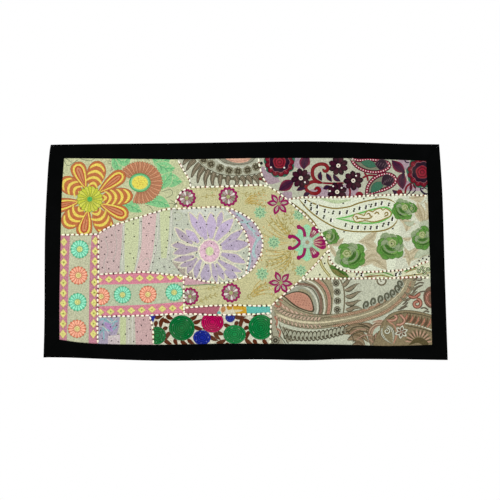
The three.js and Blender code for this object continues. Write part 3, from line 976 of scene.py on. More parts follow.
def feather_print():
    cloth = Print(dye(206, 208, 184), (-160, -110))
    dark, pale = dye(74, 68, 52), dye(220, 222, 204)
    cloth.lay(strip([(17, 86), (82, 86), (221, 86)],
                    [(45, 64), (87, 32), (119, 26), (149, 26), (174, 27), (211, 39)]),
                    dye(184, 186, 164))
    dome = [(89, 74), (112, 59), (144, 55), (171, 60), (186, 74)]
    cloth.lay(np.vstack([curve(dome, 20), [(186, 86), (89, 86)]]), dye(150, 148, 128), 0, None, dark, 1.2)
    dome = [(102, 74), (122, 63), (144, 59), (165, 63), (176, 74)]
    cloth.lay(np.vstack([curve(dome, 20), [(176, 86), (102, 86)]]), dye(212, 166, 142), 0.1, ("line", 0))
    drawn_lines(cloth, dye(176, 128, 108), 1.1, ([(109, 67), (144, 63), (171, 68)],))
    drawn_lines(cloth, pale, 2.6, ([(79, 74), (107, 55), (144, 48), (176, 53), (196, 66)],))
    drawn_lines(cloth, dark, 1.3, (
        [(41, 66), (64, 46), (91, 33), (116, 28), (143, 27), (165, 28), (191, 34)],
        [(38, 61), (61, 41), (89, 28), (116, 23), (143, 22), (165, 24), (191, 29)],
    ))
    for k, at in enumerate((
        (56, 67), (74, 56), (97, 46), (119, 40), (141, 38), (165, 41), (186, 49),
    )):
        cloth.lay(bloom(at, 11, 11, 0.12), dye(132, 128, 104))
        cloth.lay(bloom(at, 7.7, 7, 0.2), dye(74, 68, 50))
        for turn in range(4):
            cloth.lay(disc(polar(at, 90 * turn + 20 * k, 7.2), 1.3), dye(176, 172, 146))
        cloth.lay(disc(at, 2.7), dye(146, 140, 114))
        cloth.lay(disc(at, 1.5), dark)
    under = [(45, 56), (62, 39), (87, 26), (116, 20), (143, 19), (165, 20), (196, 25)]
    cloth.lay(even_band(under, 6), dye(108, 102, 80))
    for root, middle, tip in (
        ((22, 74), (15, 65), (5, 55)), ((35, 66), (26, 55), (14, 41)), ((46, 57), (39, 41), (26, 24)),
        ((56, 48), (51, 30), (41, 10)), ((69, 41), (67, 22), (61, 2)), ((83, 35), (83, 19), (79, 2)),
        ((99, 29), (101, 17), (97, 2)), ((118, 26), (119, 14), (117, 2)), ((134, 25), (136, 14), (136, 3)),
        ((149, 25), (153, 15), (156, 4)), ((164, 26), (169, 16), (175, 5)),
        ((179, 27), (185, 17), (192, 7)), ((191, 31), (197, 21), (205, 13)),
    ):
        bow = (middle[0] + 0.16 * (tip[1] - root[1]) * (1 if root[0] < 127 else -1), middle[1])
        feather = swept([root, bow, tip], lambda t: 6.4 * np.clip(0.66 + 1.2 * t, 0, 1)
                        * np.clip(1.04 - t, 0, 1) ** 0.7)
        cloth.lay(feather, dye(138, 128, 106), 0, None, dye(66, 60, 44), 1.6)
        for shift, colour in ((-3.4, dye(90, 84, 64)), (0, dye(166, 148, 126)), (3, dye(90, 84, 64))):
            cloth.lay(stroke([(tip[0] + shift * 0.1, tip[1] + 9), (bow[0] + shift * 0.8, bow[1]),
                              (root[0] + shift, root[1])], 1.2), colour)
    cloth.lay(disc((197, 19), 4), dye(120, 40, 40))
    return cloth


def scalloped_flower(cloth, at, radius):
    cloth.lay(bloom(at, radius * 1.06, 9, 0.12, 14), dye(54, 106, 84), 0.2)
    cloth.lay(bloom(at, radius * 0.96, 13, 0.16), dye(112, 16, 34), 0.3, ("ray", at), dye(44, 16, 28), 1.7)
    for k in range(26):
        angle = 180 / 13 * k + 14
        cloth.lay(stroke(ray(at, angle, radius * 0.6, radius * (0.84 if k % 2 else 0.92)), 1.5),
                  dye(150, 62, 76) if k % 2 else dye(46, 14, 28), 0.35)
    cloth.lay(bloom(at, radius * 0.7, 9, 0.12), dye(36, 14, 34), 0.35, None, dye(150, 100, 104), 0.8)
    cloth.lay(bloom(at, radius * 0.42, 5, 0.1, 18), dye(136, 22, 42), 0.4, ("ring", at), dye(130, 66, 68))
    for share, colour in ((0.34, dye(84, 12, 28)), (0.27, dye(144, 28, 48)), (0.17, dye(92, 12, 30)),
                          (0.09, dye(140, 30, 50))):
        cloth.lay(bloom(at, radius * share, 5, 0.1, 18), colour, 0.4, ("ring", at))


def dark_flower(cloth, at, radius, turn):
    """A maroon flower of eight round petals about a cream heart, with a painted highlight down each petal."""
    for k in range(8):
        petal = drop(ray(at, 45 * k + turn, radius * 0.2, radius * 1.1), radius * 0.54, 0.64)
        cloth.lay(petal, dye(56, 12, 32) if k % 2 else dye(40, 10, 26), 0.35, ("line", 45 * k + turn),
                  dye(24, 10, 20), 1.1)
        # painted highlight: a lighter plum drop down the middle of each dark petal
        cloth.lay(drop(ray(at, 45 * k + turn, radius * 0.46, radius * 0.86), radius * 0.22, 0.6),
                  dye(62, 16, 36), 0.4)
    cloth.lay(disc(at, radius * 0.24), dye(226, 218, 200), 0.45, ("ring", at), BLACK, 1.2)
    cloth.lay(disc(at, radius * 0.09), dye(104, 90, 74), 0.45)


def veined_leaf(cloth, points, width, one, two):
    cloth.lay(leaf(points, width), one, 0.25)
    cloth.lay(leaf(points, width * 0.66), two, 0.3)
    cloth.lay(stroke(points, 1.2), dye(40, 20, 50), 0.35)


def beaded_teardrop(cloth, points, width, green, dark):
    """A paisley with a beaded double rim, a green leaf and a dark eye inside."""
    outline = drop(points, width, 0.62)
    for inward, colour, lift in (
        (0, dye(40, 14, 26), 0.3), (1.8, dye(136, 28, 58), 0.35), (7.8, dye(34, 12, 24), 0.35),
        (9.8, dye(122, 124, 104), 0.2),
    ):
        cloth.lay(grown(outline, -inward), colour, lift)
    rim = grown(outline, -4.8)
    for at in curve(np.vstack([rim, rim[:1]]), int(length_of(rim) / 6))[:-1]:
        cloth.lay(disc(at, 1.6), dye(234, 208, 204), 0.4)
    cloth.lay(leaf(green, width * 0.44), dye(56, 106, 82), 0.25, ("line", 0), dye(34, 54, 46), 0.9)
    cloth.lay(leaf(dark, width * 0.66), dye(46, 30, 42), 0.3, ("line", 60), dye(96, 72, 80), 1.0)
    for spot in curve(dark, 6)[1:-1]:
        cloth.lay(stroke([(spot[0] - 3, spot[1] - 5), (spot[0] + 3, spot[1] + 5)], 1.1), dye(108, 84, 92),
                  0.3)


def damson_floral_print():
    cloth = Print(dye(194, 197, 174), (35, -145))
    laid_leaves(cloth, dye(176, 154, 164), (
        ([(6, 86), (21, 61), (51, 47)], 34), ([(80, 22), (65, 7), (58, -8)], 30),
        ([(75, 106), (95, 91), (98, 76)], 26), ([(194, 32), (224, 27), (249, 37)], 34),
        ([(115, 24), (145, 17), (180, 9)], 26), ([(100, 76), (110, 61), (127, 71)], 20),
        ([(368, 101), (373, 76), (363, 56)], 16), ([(343, 27), (373, 37), (408, 27)], 26),
        ([(145, 37), (155, 22), (175, 12)], 26), ([(343, 106), (358, 91), (373, 76)], 24),
    ))
    for points in (
        [(155, 44), (139, 50), (131, 64), (133, 81), (146, 90), (161, 90), (169, 82), (166, 74), (159, 74),
         (157, 79)],
        [(155, 44), (136, 48), (120, 42), (114, 32), (123, 21), (140, 18), (149, 26), (142, 32), (136, 27)],
    ):
        cloth.lay(stroke(points, 7.4), dye(124, 16, 28), 0.3, ("line", 45), dye(84, 18, 28), 0.8)
    drawn_lines(cloth, dye(126, 24, 40), 5, (
        [(155, 44), (181, 43), (209, 44)], [(254, 56), (269, 63), (290, 62)],
        [(259, 70), (266, 60), (269, 48)], [(221, 34), (224, 24), (223, 9)],
        [(360, 12), (363, 32), (373, 42), (390, 47)],
    ))
    plum, wine, ink = dye(66, 24, 50), dye(112, 32, 58), dye(40, 22, 50)
    for points, width in (
        ([(109, 77), (111, 94), (121, 114)], 27), ([(86, 50), (70, 41), (47, 25)], 27),
        ([(327, 101), (341, 86), (361, 69)], 24), ([(358, 71), (352, 52), (355, 28)], 25),
    ):
        veined_leaf(cloth, points, width, wine, plum)
        cloth.lay(stroke(points[:2], 2.2), ink, 0.35)
    for points in (
        [(152, 73), (149, 61), (154, 49)], [(165, 69), (171, 58), (179, 47)],
        [(182, 66), (189, 55), (201, 48)], [(91, 25), (103, 31), (115, 30)],
        [(157, 29), (165, 33), (175, 37)], [(108, 12), (117, 17), (125, 18)],
        [(328, 27), (341, 19), (356, 19)], [(390, 106), (395, 101), (408, 101)],
    ):
        veined_leaf(cloth, points, 12, dye(98, 24, 50), ink)
    for points in ([(374, 23), (375, 33), (375, 44)], [(387, 29), (384, 37), (381, 47)]):
        veined_leaf(cloth, points, 8, dye(116, 18, 38), dye(92, 20, 40))
    drawn_lines(cloth, ink, 3, (
        [(399, 39), (399, 27), (405, 19), (415, 14)], [(400, 29), (409, 32), (415, 28)],
        [(359, 101), (364, 95), (371, 95)], [(356, 74), (355, 66), (357, 56)],
        [(332, 18), (343, 20), (358, 18)], [(400, 27), (408, 19), (420, 17)],
        [(366, 14), (372, 22), (373, 28)], [(377, 17), (384, 23), (387, 28)],
    ))
    scalloped_flower(cloth, (49, 96), 37)
    scalloped_flower(cloth, (403, 71), 38)
    for at, turn in (((102, 56), 10), ((195, 87), 24), ((232, 50), 4), ((192, 22), 18)):
        dark_flower(cloth, at, 22, turn)
    for at in (
        (239, 62), (112, 46), (182, 36), (203, 32), (174, 24), (61, 82), (28, 83), (14, 79),
    ):
        cloth.lay(disc(at, 2.2), dye(238, 234, 224), 0.7, None, dye(60, 30, 40), 0.8)
    cloth.lay(disc((247, 13), 10), dye(122, 18, 38), 0.35, ("line", 0))
    cloth.lay(bloom((347, 21), 7.4, 6, 0.15), dye(120, 18, 36), 0.35)
    cloth.lay(disc((4, 93), 4), BLACK, 0.3)
    beaded_teardrop(cloth, [(218, 114), (244, 93), (284, 86), (327, 88)], 40,
                    [(251, 96), (269, 92), (291, 86)], [(286, 91), (301, 90), (318, 86)])
    beaded_teardrop(cloth, [(261, 3), (279, 31), (307, 47), (342, 54)], 47,
                    [(276, 20), (289, 34), (309, 45)], [(303, 42), (316, 50), (332, 55)])
    return cloth


def rose(cloth, at, radius, turn, height=1.0):
    """A loose green rose: leaf-green petals on one side, grey-green ones on the other, and dark
    folds beside a pale heart that lies off its middle."""
    grey, green, deep, pale = dye(152, 170, 130), dye(102, 150, 70), dye(62, 104, 42), dye(176, 190, 148)
    first = len(cloth.shapes)
    for k in range(9):
        angle = turn + 40 * k
        petal = drop(ray(at, angle, radius * 0.1, radius * (1, 0.88, 1.04, 0.92)[k % 4]), radius * 0.7,
                     0.62)
        cloth.lay(petal, grey if k in (3, 5, 6) else green, 0, None, pale if k in (3, 5, 6) else deep, 0.9)
        cloth.lay(drop(ray(at, angle + 9, radius * 0.5, radius * 0.88), radius * 0.36, 0.6),
                  dye(138, 158, 118) if k in (3, 5, 6) else dye(86, 150, 58))
    for k in range(7):
        angle = turn + 51 * k + 20
        petal = drop(ray(at, angle, 0, radius * (0.74, 0.64, 0.7)[k % 3]), radius * 0.6, 0.6)
        cloth.lay(petal, (green, dye(124, 170, 84), grey)[k % 3], 0, None, deep, 0.8)
    heart = polar(at, turn + 180, radius * 0.26)
    for reach, width, spread, colour in (
        (0.8, 0.13, 50, deep), (0.62, 0.18, 60, dye(140, 160, 118)), (0.5, 0.13, 66, dye(70, 118, 44)),
        (0.4, 0.11, 74, deep),
    ):
        fold = [polar(heart, turn + spread * share, radius * reach) for share in (-1, -0.5, 0, 0.5, 1)]
        cloth.lay(leaf(fold, radius * width), colour)
    cloth.lay(bloom(heart, radius * 0.28, 5, 0.16, turn), dye(182, 192, 138), 0, None, dye(112, 150, 70),
              1.0)
    cloth.lay(stroke(coil(heart, radius * 0.22, 1.2, turn), radius * 0.06), dye(120, 140, 70))
    middle = cloth.corner + at
    for k in range(first, len(cloth.shapes)):
        outline, *rest = cloth.shapes[k]
        cloth.shapes[k] = ((outline - middle) * (1, height) + middle, *rest)


ROSE_OUTLINE = dye(146, 126, 58)
LEAF_GREEN = dye(104, 180, 88)


def eyelets(cloth, places, size=1.0):
    """White oval knots, each with a black speck."""
    for k, at in enumerate(places):
        cloth.lay(disc(at, 3.7 * size, 1.7, 8 * (k % 3)), dye(244, 246, 234), 0.1, None, dye(214, 220, 196),
                  0.8)
        for end in (polar(at, 75 + 20 * (k % 3), 2.6), polar(at, 255 - 15 * (k % 3), 2.6)):
            cloth.lay(bloom(end, 2.9, 3, 0.2, 40 * k), dye(34, 32, 24) if k % 3 else dye(60, 70, 34), 0.15)


def rose_print():
    cloth = Print(dye(234, 240, 214), (100, -325))
    # painted shade: the ground is laid darker over the right part of the piece
    panels(cloth, ([(278, 197), (281, 93), (268, 3)], [(382, 207), (382, 93), (382, 3)],
                   dye(222, 226, 202)))
    for points, width in (
        ([(313, 187), (328, 182), (345, 192)], 14), ([(325, 177), (333, 150), (343, 120)], 28),
        ([(343, 179), (355, 155), (345, 127)], 16), ([(288, 137), (301, 122), (298, 103)], 20),
        ([(278, 137), (298, 127), (323, 122)], 14), ([(303, 187), (323, 188), (353, 197)], 16),
        ([(358, 192), (355, 167), (360, 127)], 12), ([(179, 78), (204, 83), (226, 105)], 24),
        ([(189, 80), (211, 68), (229, 48)], 24), ([(186, 16), (216, 43), (251, 8)], 42),
        ([(293, 58), (318, 50), (353, 63)], 12), ([(194, 28), (219, 33), (248, 18)], 20),
        ([(288, 38), (308, 48), (333, 68)], 14), ([(293, 63), (303, 43), (305, 16)], 14),
        ([(298, 28), (313, 38), (333, 41)], 12), ([(288, 88), (301, 84), (313, 90)], 10),
        ([(110, 70), (129, 75), (144, 88)], 14), ([(90, 93), (110, 65), (134, 28)], 12),
    ):
        cloth.lay(leaf(points, width), dye(208, 198, 164))
        cloth.lay(leaf(points, width * 0.3), dye(188, 176, 142))
    laid_leaves(cloth, dye(192, 202, 172), (
        ([(318, 38), (338, 51), (360, 50)], 18), ([(348, 70), (355, 58), (358, 46)], 11),
        ([(330, 117), (343, 122), (358, 108)], 20), ([(318, 130), (308, 122), (293, 127)], 10),
    ), 0, None, dye(160, 172, 140), 0.8)
    drawn_lines(cloth, dye(170, 156, 116), 1.3, (
        [(323, 182), (338, 174), (348, 182)], [(320, 167), (330, 145), (335, 127)],
        [(333, 174), (343, 152), (343, 130)], [(350, 184), (358, 162), (350, 132)],
        [(313, 172), (318, 155), (330, 137)], [(323, 28), (340, 43), (360, 46)],
        [(291, 68), (303, 53), (308, 28)], [(328, 167), (335, 147), (340, 125)],
        [(201, 28), (221, 31), (241, 16)],
    ))
    panels(cloth, ([(80, 189), (124, 182), (164, 184)], [(85, 184), (124, 173), (159, 180)],
                   dye(196, 214, 168)))
    body = [(124, 136), (147, 139), (172, 146), (199, 154), (226, 161), (248, 164), (262, 156),
            (263, 149), (255, 139), (234, 128), (205, 124), (177, 126), (147, 132), (124, 136)]
    cloth.lay(curve(body, 60)[:-1], dye(220, 232, 196))
    cloth.lay(stroke(body, 4), LEAF_GREEN, 0.3, ("line", 20))
    scroll = [(167, 139), (173, 146), (184, 145), (195, 142), (198, 149), (205, 154),
              (216, 151), (221, 156), (234, 160), (240, 155), (248, 159), (259, 151), (257, 143),
              (249, 139), (234, 133), (216, 129), (198, 132), (184, 130), (173, 129),
              (167, 139)]
    cloth.lay(curve(scroll, 60)[:-1], dye(230, 228, 202), 0.1, None, ROSE_OUTLINE, 2.8)
    drawn_lines(cloth, ROSE_OUTLINE, 3.5, (
        [(45, 187), (65, 175), (90, 167), (121, 161), (155, 165), (180, 174), (208, 181), (236, 185),
         (256, 183), (271, 175)],
        [(30, 187), (51, 162), (73, 143), (99, 126), (127, 112), (158, 105), (194, 103), (234, 105),
         (259, 113), (273, 126), (277, 137)],
        [(8, 179), (34, 161), (54, 144), (70, 126), (80, 110)],
        [(174, 134), (183, 137), (199, 135), (214, 139)], [(199, 146), (207, 149), (209, 142), (216, 142)],
        [(243, 141), (252, 145), (252, 151), (246, 150), (245, 145)], [(219, 147), (226, 152), (231, 146)],
        [(171, 140), (176, 141), (177, 135)],
    ))
    eyelets(cloth, (
        (255, 171), (238, 174), (224, 171), (211, 168), (199, 164), (184, 161), (169, 157), (152, 152),
        (135, 150), (117, 151), (97, 155), (79, 165), (62, 171), (49, 178), (113, 132), (94, 140),
        (78, 150), (64, 160), (148, 120), (165, 114), (180, 114), (196, 113), (211, 113), (227, 114),
        (241, 120), (255, 123), (265, 134),
    ))
    for at in (
        (142, 174), (193, 185), (144, 103), (265, 111), (86, 107), (231, 82), (248, 80), (36, 155),
        (53, 138), (23, 166), (40, 148), (45, 169), (330, 31), (339, 37), (348, 35), (354, 42), (360, 38),
        (277, 53),
    ):
        cloth.lay(disc(at, 2.2), BLACK, 0.3)
    for at, radius, turn, height in (
        ((290, 158), 28, -130, 1), ((314, 161), 12, 0, 1), ((339, 88), 30, -80, 1.02),
        ((259, 67), 36, -120, 1), ((160, 44), 41, -35, 0.84), ((111, 91), 22, -10, 0.92),
    ):
        rose(cloth, at, radius, turn, height)
    return cloth


def cream_sliver_print():
    cloth = Print(dye(226, 228, 192), (180, -340))
    for points, width, colour in (
        ([(25, 37), (47, 21), (79, 3)], 22, dye(84, 128, 54)),
        ([(30, 26), (49, 16), (72, 6)], 12, dye(128, 124, 70)),
        ([(35, 28), (49, 23), (69, 8)], 4, dye(58, 92, 34)),
    ):
        cloth.lay(leaf(points, width), colour)
    coated_lines(cloth, ((6.7, dye(144, 132, 58)), (2.5, dye(222, 216, 160))),
                 ([(4, 58), (6, 43), (13, 28), (30, 6)],))
    drawn_lines(cloth, ROSE_OUTLINE, 2.7, (
        [(24, 73), (26, 58), (24, 43), (31, 31)], [(216, 16), (228, 22), (245, 27)],
        [(119, 5), (154, 10), (183, 4)], [(213, 8), (243, 12), (278, 17)],
    ))
    drawn_lines(cloth, dye(92, 150, 74), 3.7, (
        [(114, 15), (144, 19), (168, 16), (188, 8)], [(213, 19), (228, 26), (245, 31)],
    ))
    drawn_lines(cloth, dye(168, 190, 130), 2.5, ([(119, 10), (149, 14), (178, 7)],))
    drawn_lines(cloth, dye(130, 52, 40), 2, (
        [(114, 7), (134, 9), (149, 8)], [(193, 6), (213, 6)],
    ))
    eyelets(cloth, ((96, 14), (108, 12), (194, 12), (203, 16)))
    for at in ((249, 21), (263, 17), (272, 25), (258, 28)):
        nested_discs(cloth, at, (5.5, dye(92, 122, 62)), (3.2, dye(226, 226, 196)), (1.7, BLACK))
    for at in ((16, 40), (4, 12), (84, 20), (272, 11), (239, 12), (30, 73)):
        cloth.lay(disc(at, 2.2), BLACK, 0.3)
    random.seed(23)
    for middle, reach, count in (
        ((97, 13), 15, 14), ((196, 13), 12, 12), ((260, 20), 17, 20), ((30, 58), 8.4, 9),
        ((64, 18), 12, 8),
    ):
        for _ in range(count):
            at = polar(middle, random.uniform(0, 360), reach * math.sqrt(random.random()))
            cloth.lay(disc(at, random.uniform(0.9, 1.6), 0.8),
                      random.choice((dye(52, 60, 28), dye(108, 56, 40), BLACK)))
    return cloth


def ringed_dot(cloth, at, radius):
    cloth.lay(bloom(at, radius, 10, 0.12), dye(104, 98, 78))
    for share, colour in ((0.74, dye(158, 158, 136)), (0.54, dye(64, 58, 44)), (0.17, dye(158, 154, 130))):
        cloth.lay(disc(at, radius * share), colour)
    for turn in range(0, 360, 60):
        cloth.lay(stroke(ray(at, turn, radius * 0.4, radius * 0.7), 1.1), dye(64, 58, 44))


TAUPE = dye(122, 114, 90)
UMBER = dye(80, 74, 56)
FLESH = dye(188, 138, 116)
CHALK = dye(218, 220, 198)
SAND = dye(164, 156, 126)


def paisley_print():
    cloth = Print(dye(202, 206, 182), (40, -510))
    for part in (paisley_hood, paisley_body, paisley_rim, paisley_tail, hooked_band, leaf_clump,
                 hatched_corner, small_scrolls):
        part(cloth)
    return cloth


def paisley_hood(cloth):
    """The bands that arch over the large paisley's body."""
    hood = [(26, 119), (51, 149), (88, 171), (125, 183), (175, 178)]
    cloth.lay(np.vstack([curve(hood, 24), curve([(177, 178), (178, 129), (172, 79)], 12),
                         curve([(172, 79), (130, 77), (85, 89), (48, 119)], 14)]), SAND)
    cloth.lay(strip([(55, 136), (93, 166), (122, 156), (144, 126), (145, 79)],
                    [(78, 126), (95, 146), (117, 139), (127, 119), (127, 79)]), dye(166, 168, 148))
    drawn_lines(cloth, CHALK, 3.7, (
        [(63, 140), (88, 154), (114, 148), (133, 126), (139, 101), (135, 82)],
        [(105, 171), (133, 157), (151, 132), (156, 101), (152, 79)],
        [(172, 176), (180, 144), (181, 114), (177, 82)],
    ))
    drawn_lines(cloth, dye(138, 112, 94), 6.4, (
        [(80, 160), (125, 154), (143, 131), (147, 103), (143, 79)],
    ))
    drawn_lines(cloth, FLESH, 7.4, ([(127, 176), (154, 154), (166, 129), (167, 101), (163, 79)],))
    drawn_lines(cloth, UMBER, 1.7, (
        [(98, 166), (129, 152), (147, 130), (152, 102), (147, 79)],
        [(75, 156), (120, 149), (138, 126), (143, 99), (139, 79)],
        [(117, 176), (147, 154), (160, 129), (162, 99), (157, 79)],
        [(142, 178), (162, 154), (172, 129), (173, 99), (169, 79)],
    ))


def paisley_body(cloth):
    """The flesh-coloured body with its rows of dots, and the beaded band under it."""
    cloth.lay(np.vstack([curve([(23, 121), (48, 124), (77, 103), (114, 87), (145, 83), (179, 84)],
                               24),
                         curve([(179, 69), (130, 64), (73, 72), (31, 97)], 14)]), SAND)
    drawn_lines(cloth, UMBER, 1.7, ([(48, 125), (77, 103), (114, 87), (145, 83), (179, 84)],))
    for k, at in enumerate((
        (52, 105), (63, 98), (74, 92), (86, 87), (99, 83), (112, 80), (125, 78),
    )):
        cloth.lay(leaf([(at[0] - 4, at[1] + 6 - 0.5 * k), (at[0] + 5, at[1] - 8 + 0.7 * k)], 5.5),
                  dye(206, 180, 156), 0, None, dye(150, 100, 82), 0.9)
    cloth.lay(curve([(52, 129), (73, 138), (94, 141), (115, 133), (126, 115), (130, 91),
                     (110, 92), (83, 103), (52, 129)], 44)[:-1], UMBER)
    cloth.lay(curve([(57, 129), (75, 136), (94, 138), (113, 130), (123, 114), (126, 94),
                     (110, 95), (85, 106), (57, 129)], 44)[:-1], FLESH, 0.15, ("ring", (93, 119)))
    dotted = np.array([(64, 129), (94, 135), (119, 119), (123, 98), (88, 107)])
    for row in range(6):
        for step in range(9):
            at = (62 + 6.9 * step + 3.4 * (row % 2) + 1.5 * row, 135 - 6 * row - 0.9 * step)
            if inside(dotted, np.array([at]))[0]:
                cloth.lay(disc(at, 1.3), dye(158, 108, 90), 0.2)


def paisley_rim(cloth):
    """Ringed dots down the paisley's right side, and the wavy leaves beyond them."""
    for at in ((184, 161), (187, 139), (188, 117), (187, 95)):
        ringed_dot(cloth, at, 9.2)
    drawn_lines(cloth, TAUPE, 3.7, ([(191, 178), (203, 149), (205, 115), (202, 84)],))
    for start, middle, end in (
        ((199, 156), (209, 161), (226, 176)), ((205, 144), (224, 150), (244, 161)),
        ((207, 129), (227, 131), (249, 141)), ((207, 113), (227, 111), (249, 119)),
        ((207, 96), (227, 100), (250, 97)),
    ):
        wave = [start, ((start[0] + middle[0]) / 2, (start[1] + middle[1]) / 2 - 3), middle,
                ((end[0] + middle[0]) / 2, (end[1] + middle[1]) / 2 + 2), end]
        cloth.lay(leaf(wave, 12, 0.6), UMBER)
        cloth.lay(leaf(wave, 7.4, 0.6), dye(142, 134, 110))
        cloth.lay(stroke([start, middle], 1.5), dye(168, 144, 120))


def paisley_tail(cloth):
    """The long ribbed tail that sweeps along below the body and up at the right."""
    tail = [(23, 104), (43, 84), (73, 71), (127, 63), (184, 69), (240, 78), (297, 97),
            (336, 125), (360, 154), (370, 181)]
    for width, colour in ((33, UMBER), (31, SAND)):
        cloth.lay(swept(tail, lambda t: width / 2 * np.minimum(0.8 + t, 1)), colour)
    drawn_lines(cloth, UMBER, 1.7, (
        [(36, 102), (75, 80), (130, 73), (187, 80), (239, 88), (291, 105), (328, 134), (348, 159)],
        [(26, 84), (70, 59), (127, 52), (187, 59), (244, 68), (303, 88), (343, 116), (370, 149)],
    ))
    line = [(36, 83), (85, 67), (140, 63), (198, 70), (254, 83), (305, 105), (346, 141),
            (361, 171)]
    cloth.lay(swept(line, lambda t: 1 + 1.7 * np.clip(1.5 - 3 * t, 0, 1)), dye(224, 214, 178))
    coated_lines(cloth, ((6.9, dye(172, 136, 108)), (1.2, dye(206, 176, 146))), (
        [(170, 77), (198, 81), (249, 92), (294, 112), (333, 149), (346, 173)],
        [(175, 54), (204, 59), (261, 72), (315, 95), (357, 134), (370, 166)],
    ))
    rail = curve(tail, 44)
    for k in range(1, 43):
        way = rail[k + 1] - rail[k - 1]
        side = np.array([-way[1], way[0]]) / np.linalg.norm(way)
        ahead = way / np.linalg.norm(way)
        for shift, lean in ((9.2, 4.4), (-9.2, -3.6)):
            middle = rail[k] + side * shift
            ends = [middle - side * 5.4 - ahead * lean, middle + side * 5.4 + ahead * lean]
            if k < 15:
                cloth.lay(leaf(ends, 5.0 if shift > 0 else 4.2), dye(204, 178, 154), 0, None, UMBER, 0.8)
            else:
                for step in (-2.4, 2.3):
                    cloth.lay(stroke([end + ahead * step for end in ends], 0.9), dye(118, 102, 78))
    panels(cloth, ([(6, 124), (6, 64), (6, 2)], [(28, 109), (38, 54), (58, 2)],
                   dye(170, 168, 144)))
    laid_leaves(cloth, dye(134, 126, 104), (
        ([(361, 154), (375, 146), (393, 156)], 5.5), ([(353, 139), (368, 131), (385, 141)], 5.5),
        ([(343, 126), (358, 119), (373, 126)], 5.5),
    ), 0, None, UMBER, 0.8)
    drawn_lines(cloth, UMBER, 2, (
        [(33, 64), (43, 35), (60, 10)], [(43, 62), (53, 35), (68, 10)], [(23, 54), (28, 30), (38, 7)],
    ))


def hooked_band(cloth):
    """Flat beads under the tail, and the hooks that run along it."""
    panels(cloth, ([(48, 54), (95, 42), (150, 42), (209, 54)],
                   [(63, 15), (100, 20), (150, 22), (219, 37)], dye(150, 146, 122)))
    for at in curve([(60, 35), (90, 30), (130, 30), (170, 36), (209, 47)], 16):
        cloth.lay(disc(at, 6.2, 2.2, -12), UMBER)
        cloth.lay(disc(at, 4.5, 2.3, -12), dye(176, 178, 154))
        cloth.lay(disc((at[0] + 1, at[1] - 4), 2.2, 1.5, -12), UMBER)
    hook = coil((0, 0), 9.9, -1.15, 250, 0.25) * (0.74, 1.12)
    for k, at in enumerate((
        (259, 107), (277, 115), (295, 121), (311, 128), (325, 136), (337, 147), (344, 159),
    )):
        cloth.lay(disc(at, 8.4, 1.3, -14 + 8 * k), dye(168, 172, 152))
        cloth.lay(stroke(place_round(at, hook, -14 + 8 * k), 4.7), dye(92, 94, 76))


def leaf_clump(cloth):
    """Brown leaves that lie over one another under the middle of the tail."""
    for middle, width, colour in (
        ([(202, 47), (227, 54), (254, 53), (276, 40)], 12, dye(136, 120, 92)),
        ([(204, 42), (229, 47), (254, 45), (271, 32)], 12, dye(152, 136, 106)),
        ([(204, 35), (227, 40), (249, 32), (264, 15)], 15, dye(128, 110, 82)),
        ([(212, 20), (229, 25), (246, 17), (256, 5)], 15, dye(146, 126, 98)),
        ([(224, 7), (239, 10), (254, 2)], 12, dye(120, 100, 76)),
        ([(246, 62), (269, 54), (286, 35)], 11, dye(132, 112, 88)),
        ([(259, 47), (271, 30), (271, 5)], 15, dye(136, 116, 90)),
        ([(279, 42), (286, 25), (284, 5)], 12, dye(126, 104, 80)),
    ):
        cloth.lay(leaf(middle, width), colour, 0, None, UMBER, 1.1)
        cloth.lay(stroke(middle, 1.3), dye(168, 152, 122))
    cloth.lay(even_band([(274, 35), (279, 54), (296, 63), (313, 59)], 12), dye(178, 150, 124))
    drawn_lines(cloth, UMBER, 2, (
        [(214, 37), (224, 49), (244, 54), (266, 52)], [(214, 25), (232, 37), (254, 42), (271, 37)],
        [(224, 15), (244, 25), (264, 35)], [(239, 59), (256, 57), (271, 47)],
        [(209, 45), (224, 30), (227, 17)],
    ))
    drawn_lines(cloth, dye(176, 140, 118), 2.7, (
        [(217, 32), (234, 45), (259, 47)], [(274, 64), (294, 69), (308, 62)],
        [(264, 25), (279, 15), (284, 45)], [(274, 45), (289, 57), (303, 54)],
        [(234, 20), (254, 32), (274, 30)],
    ))


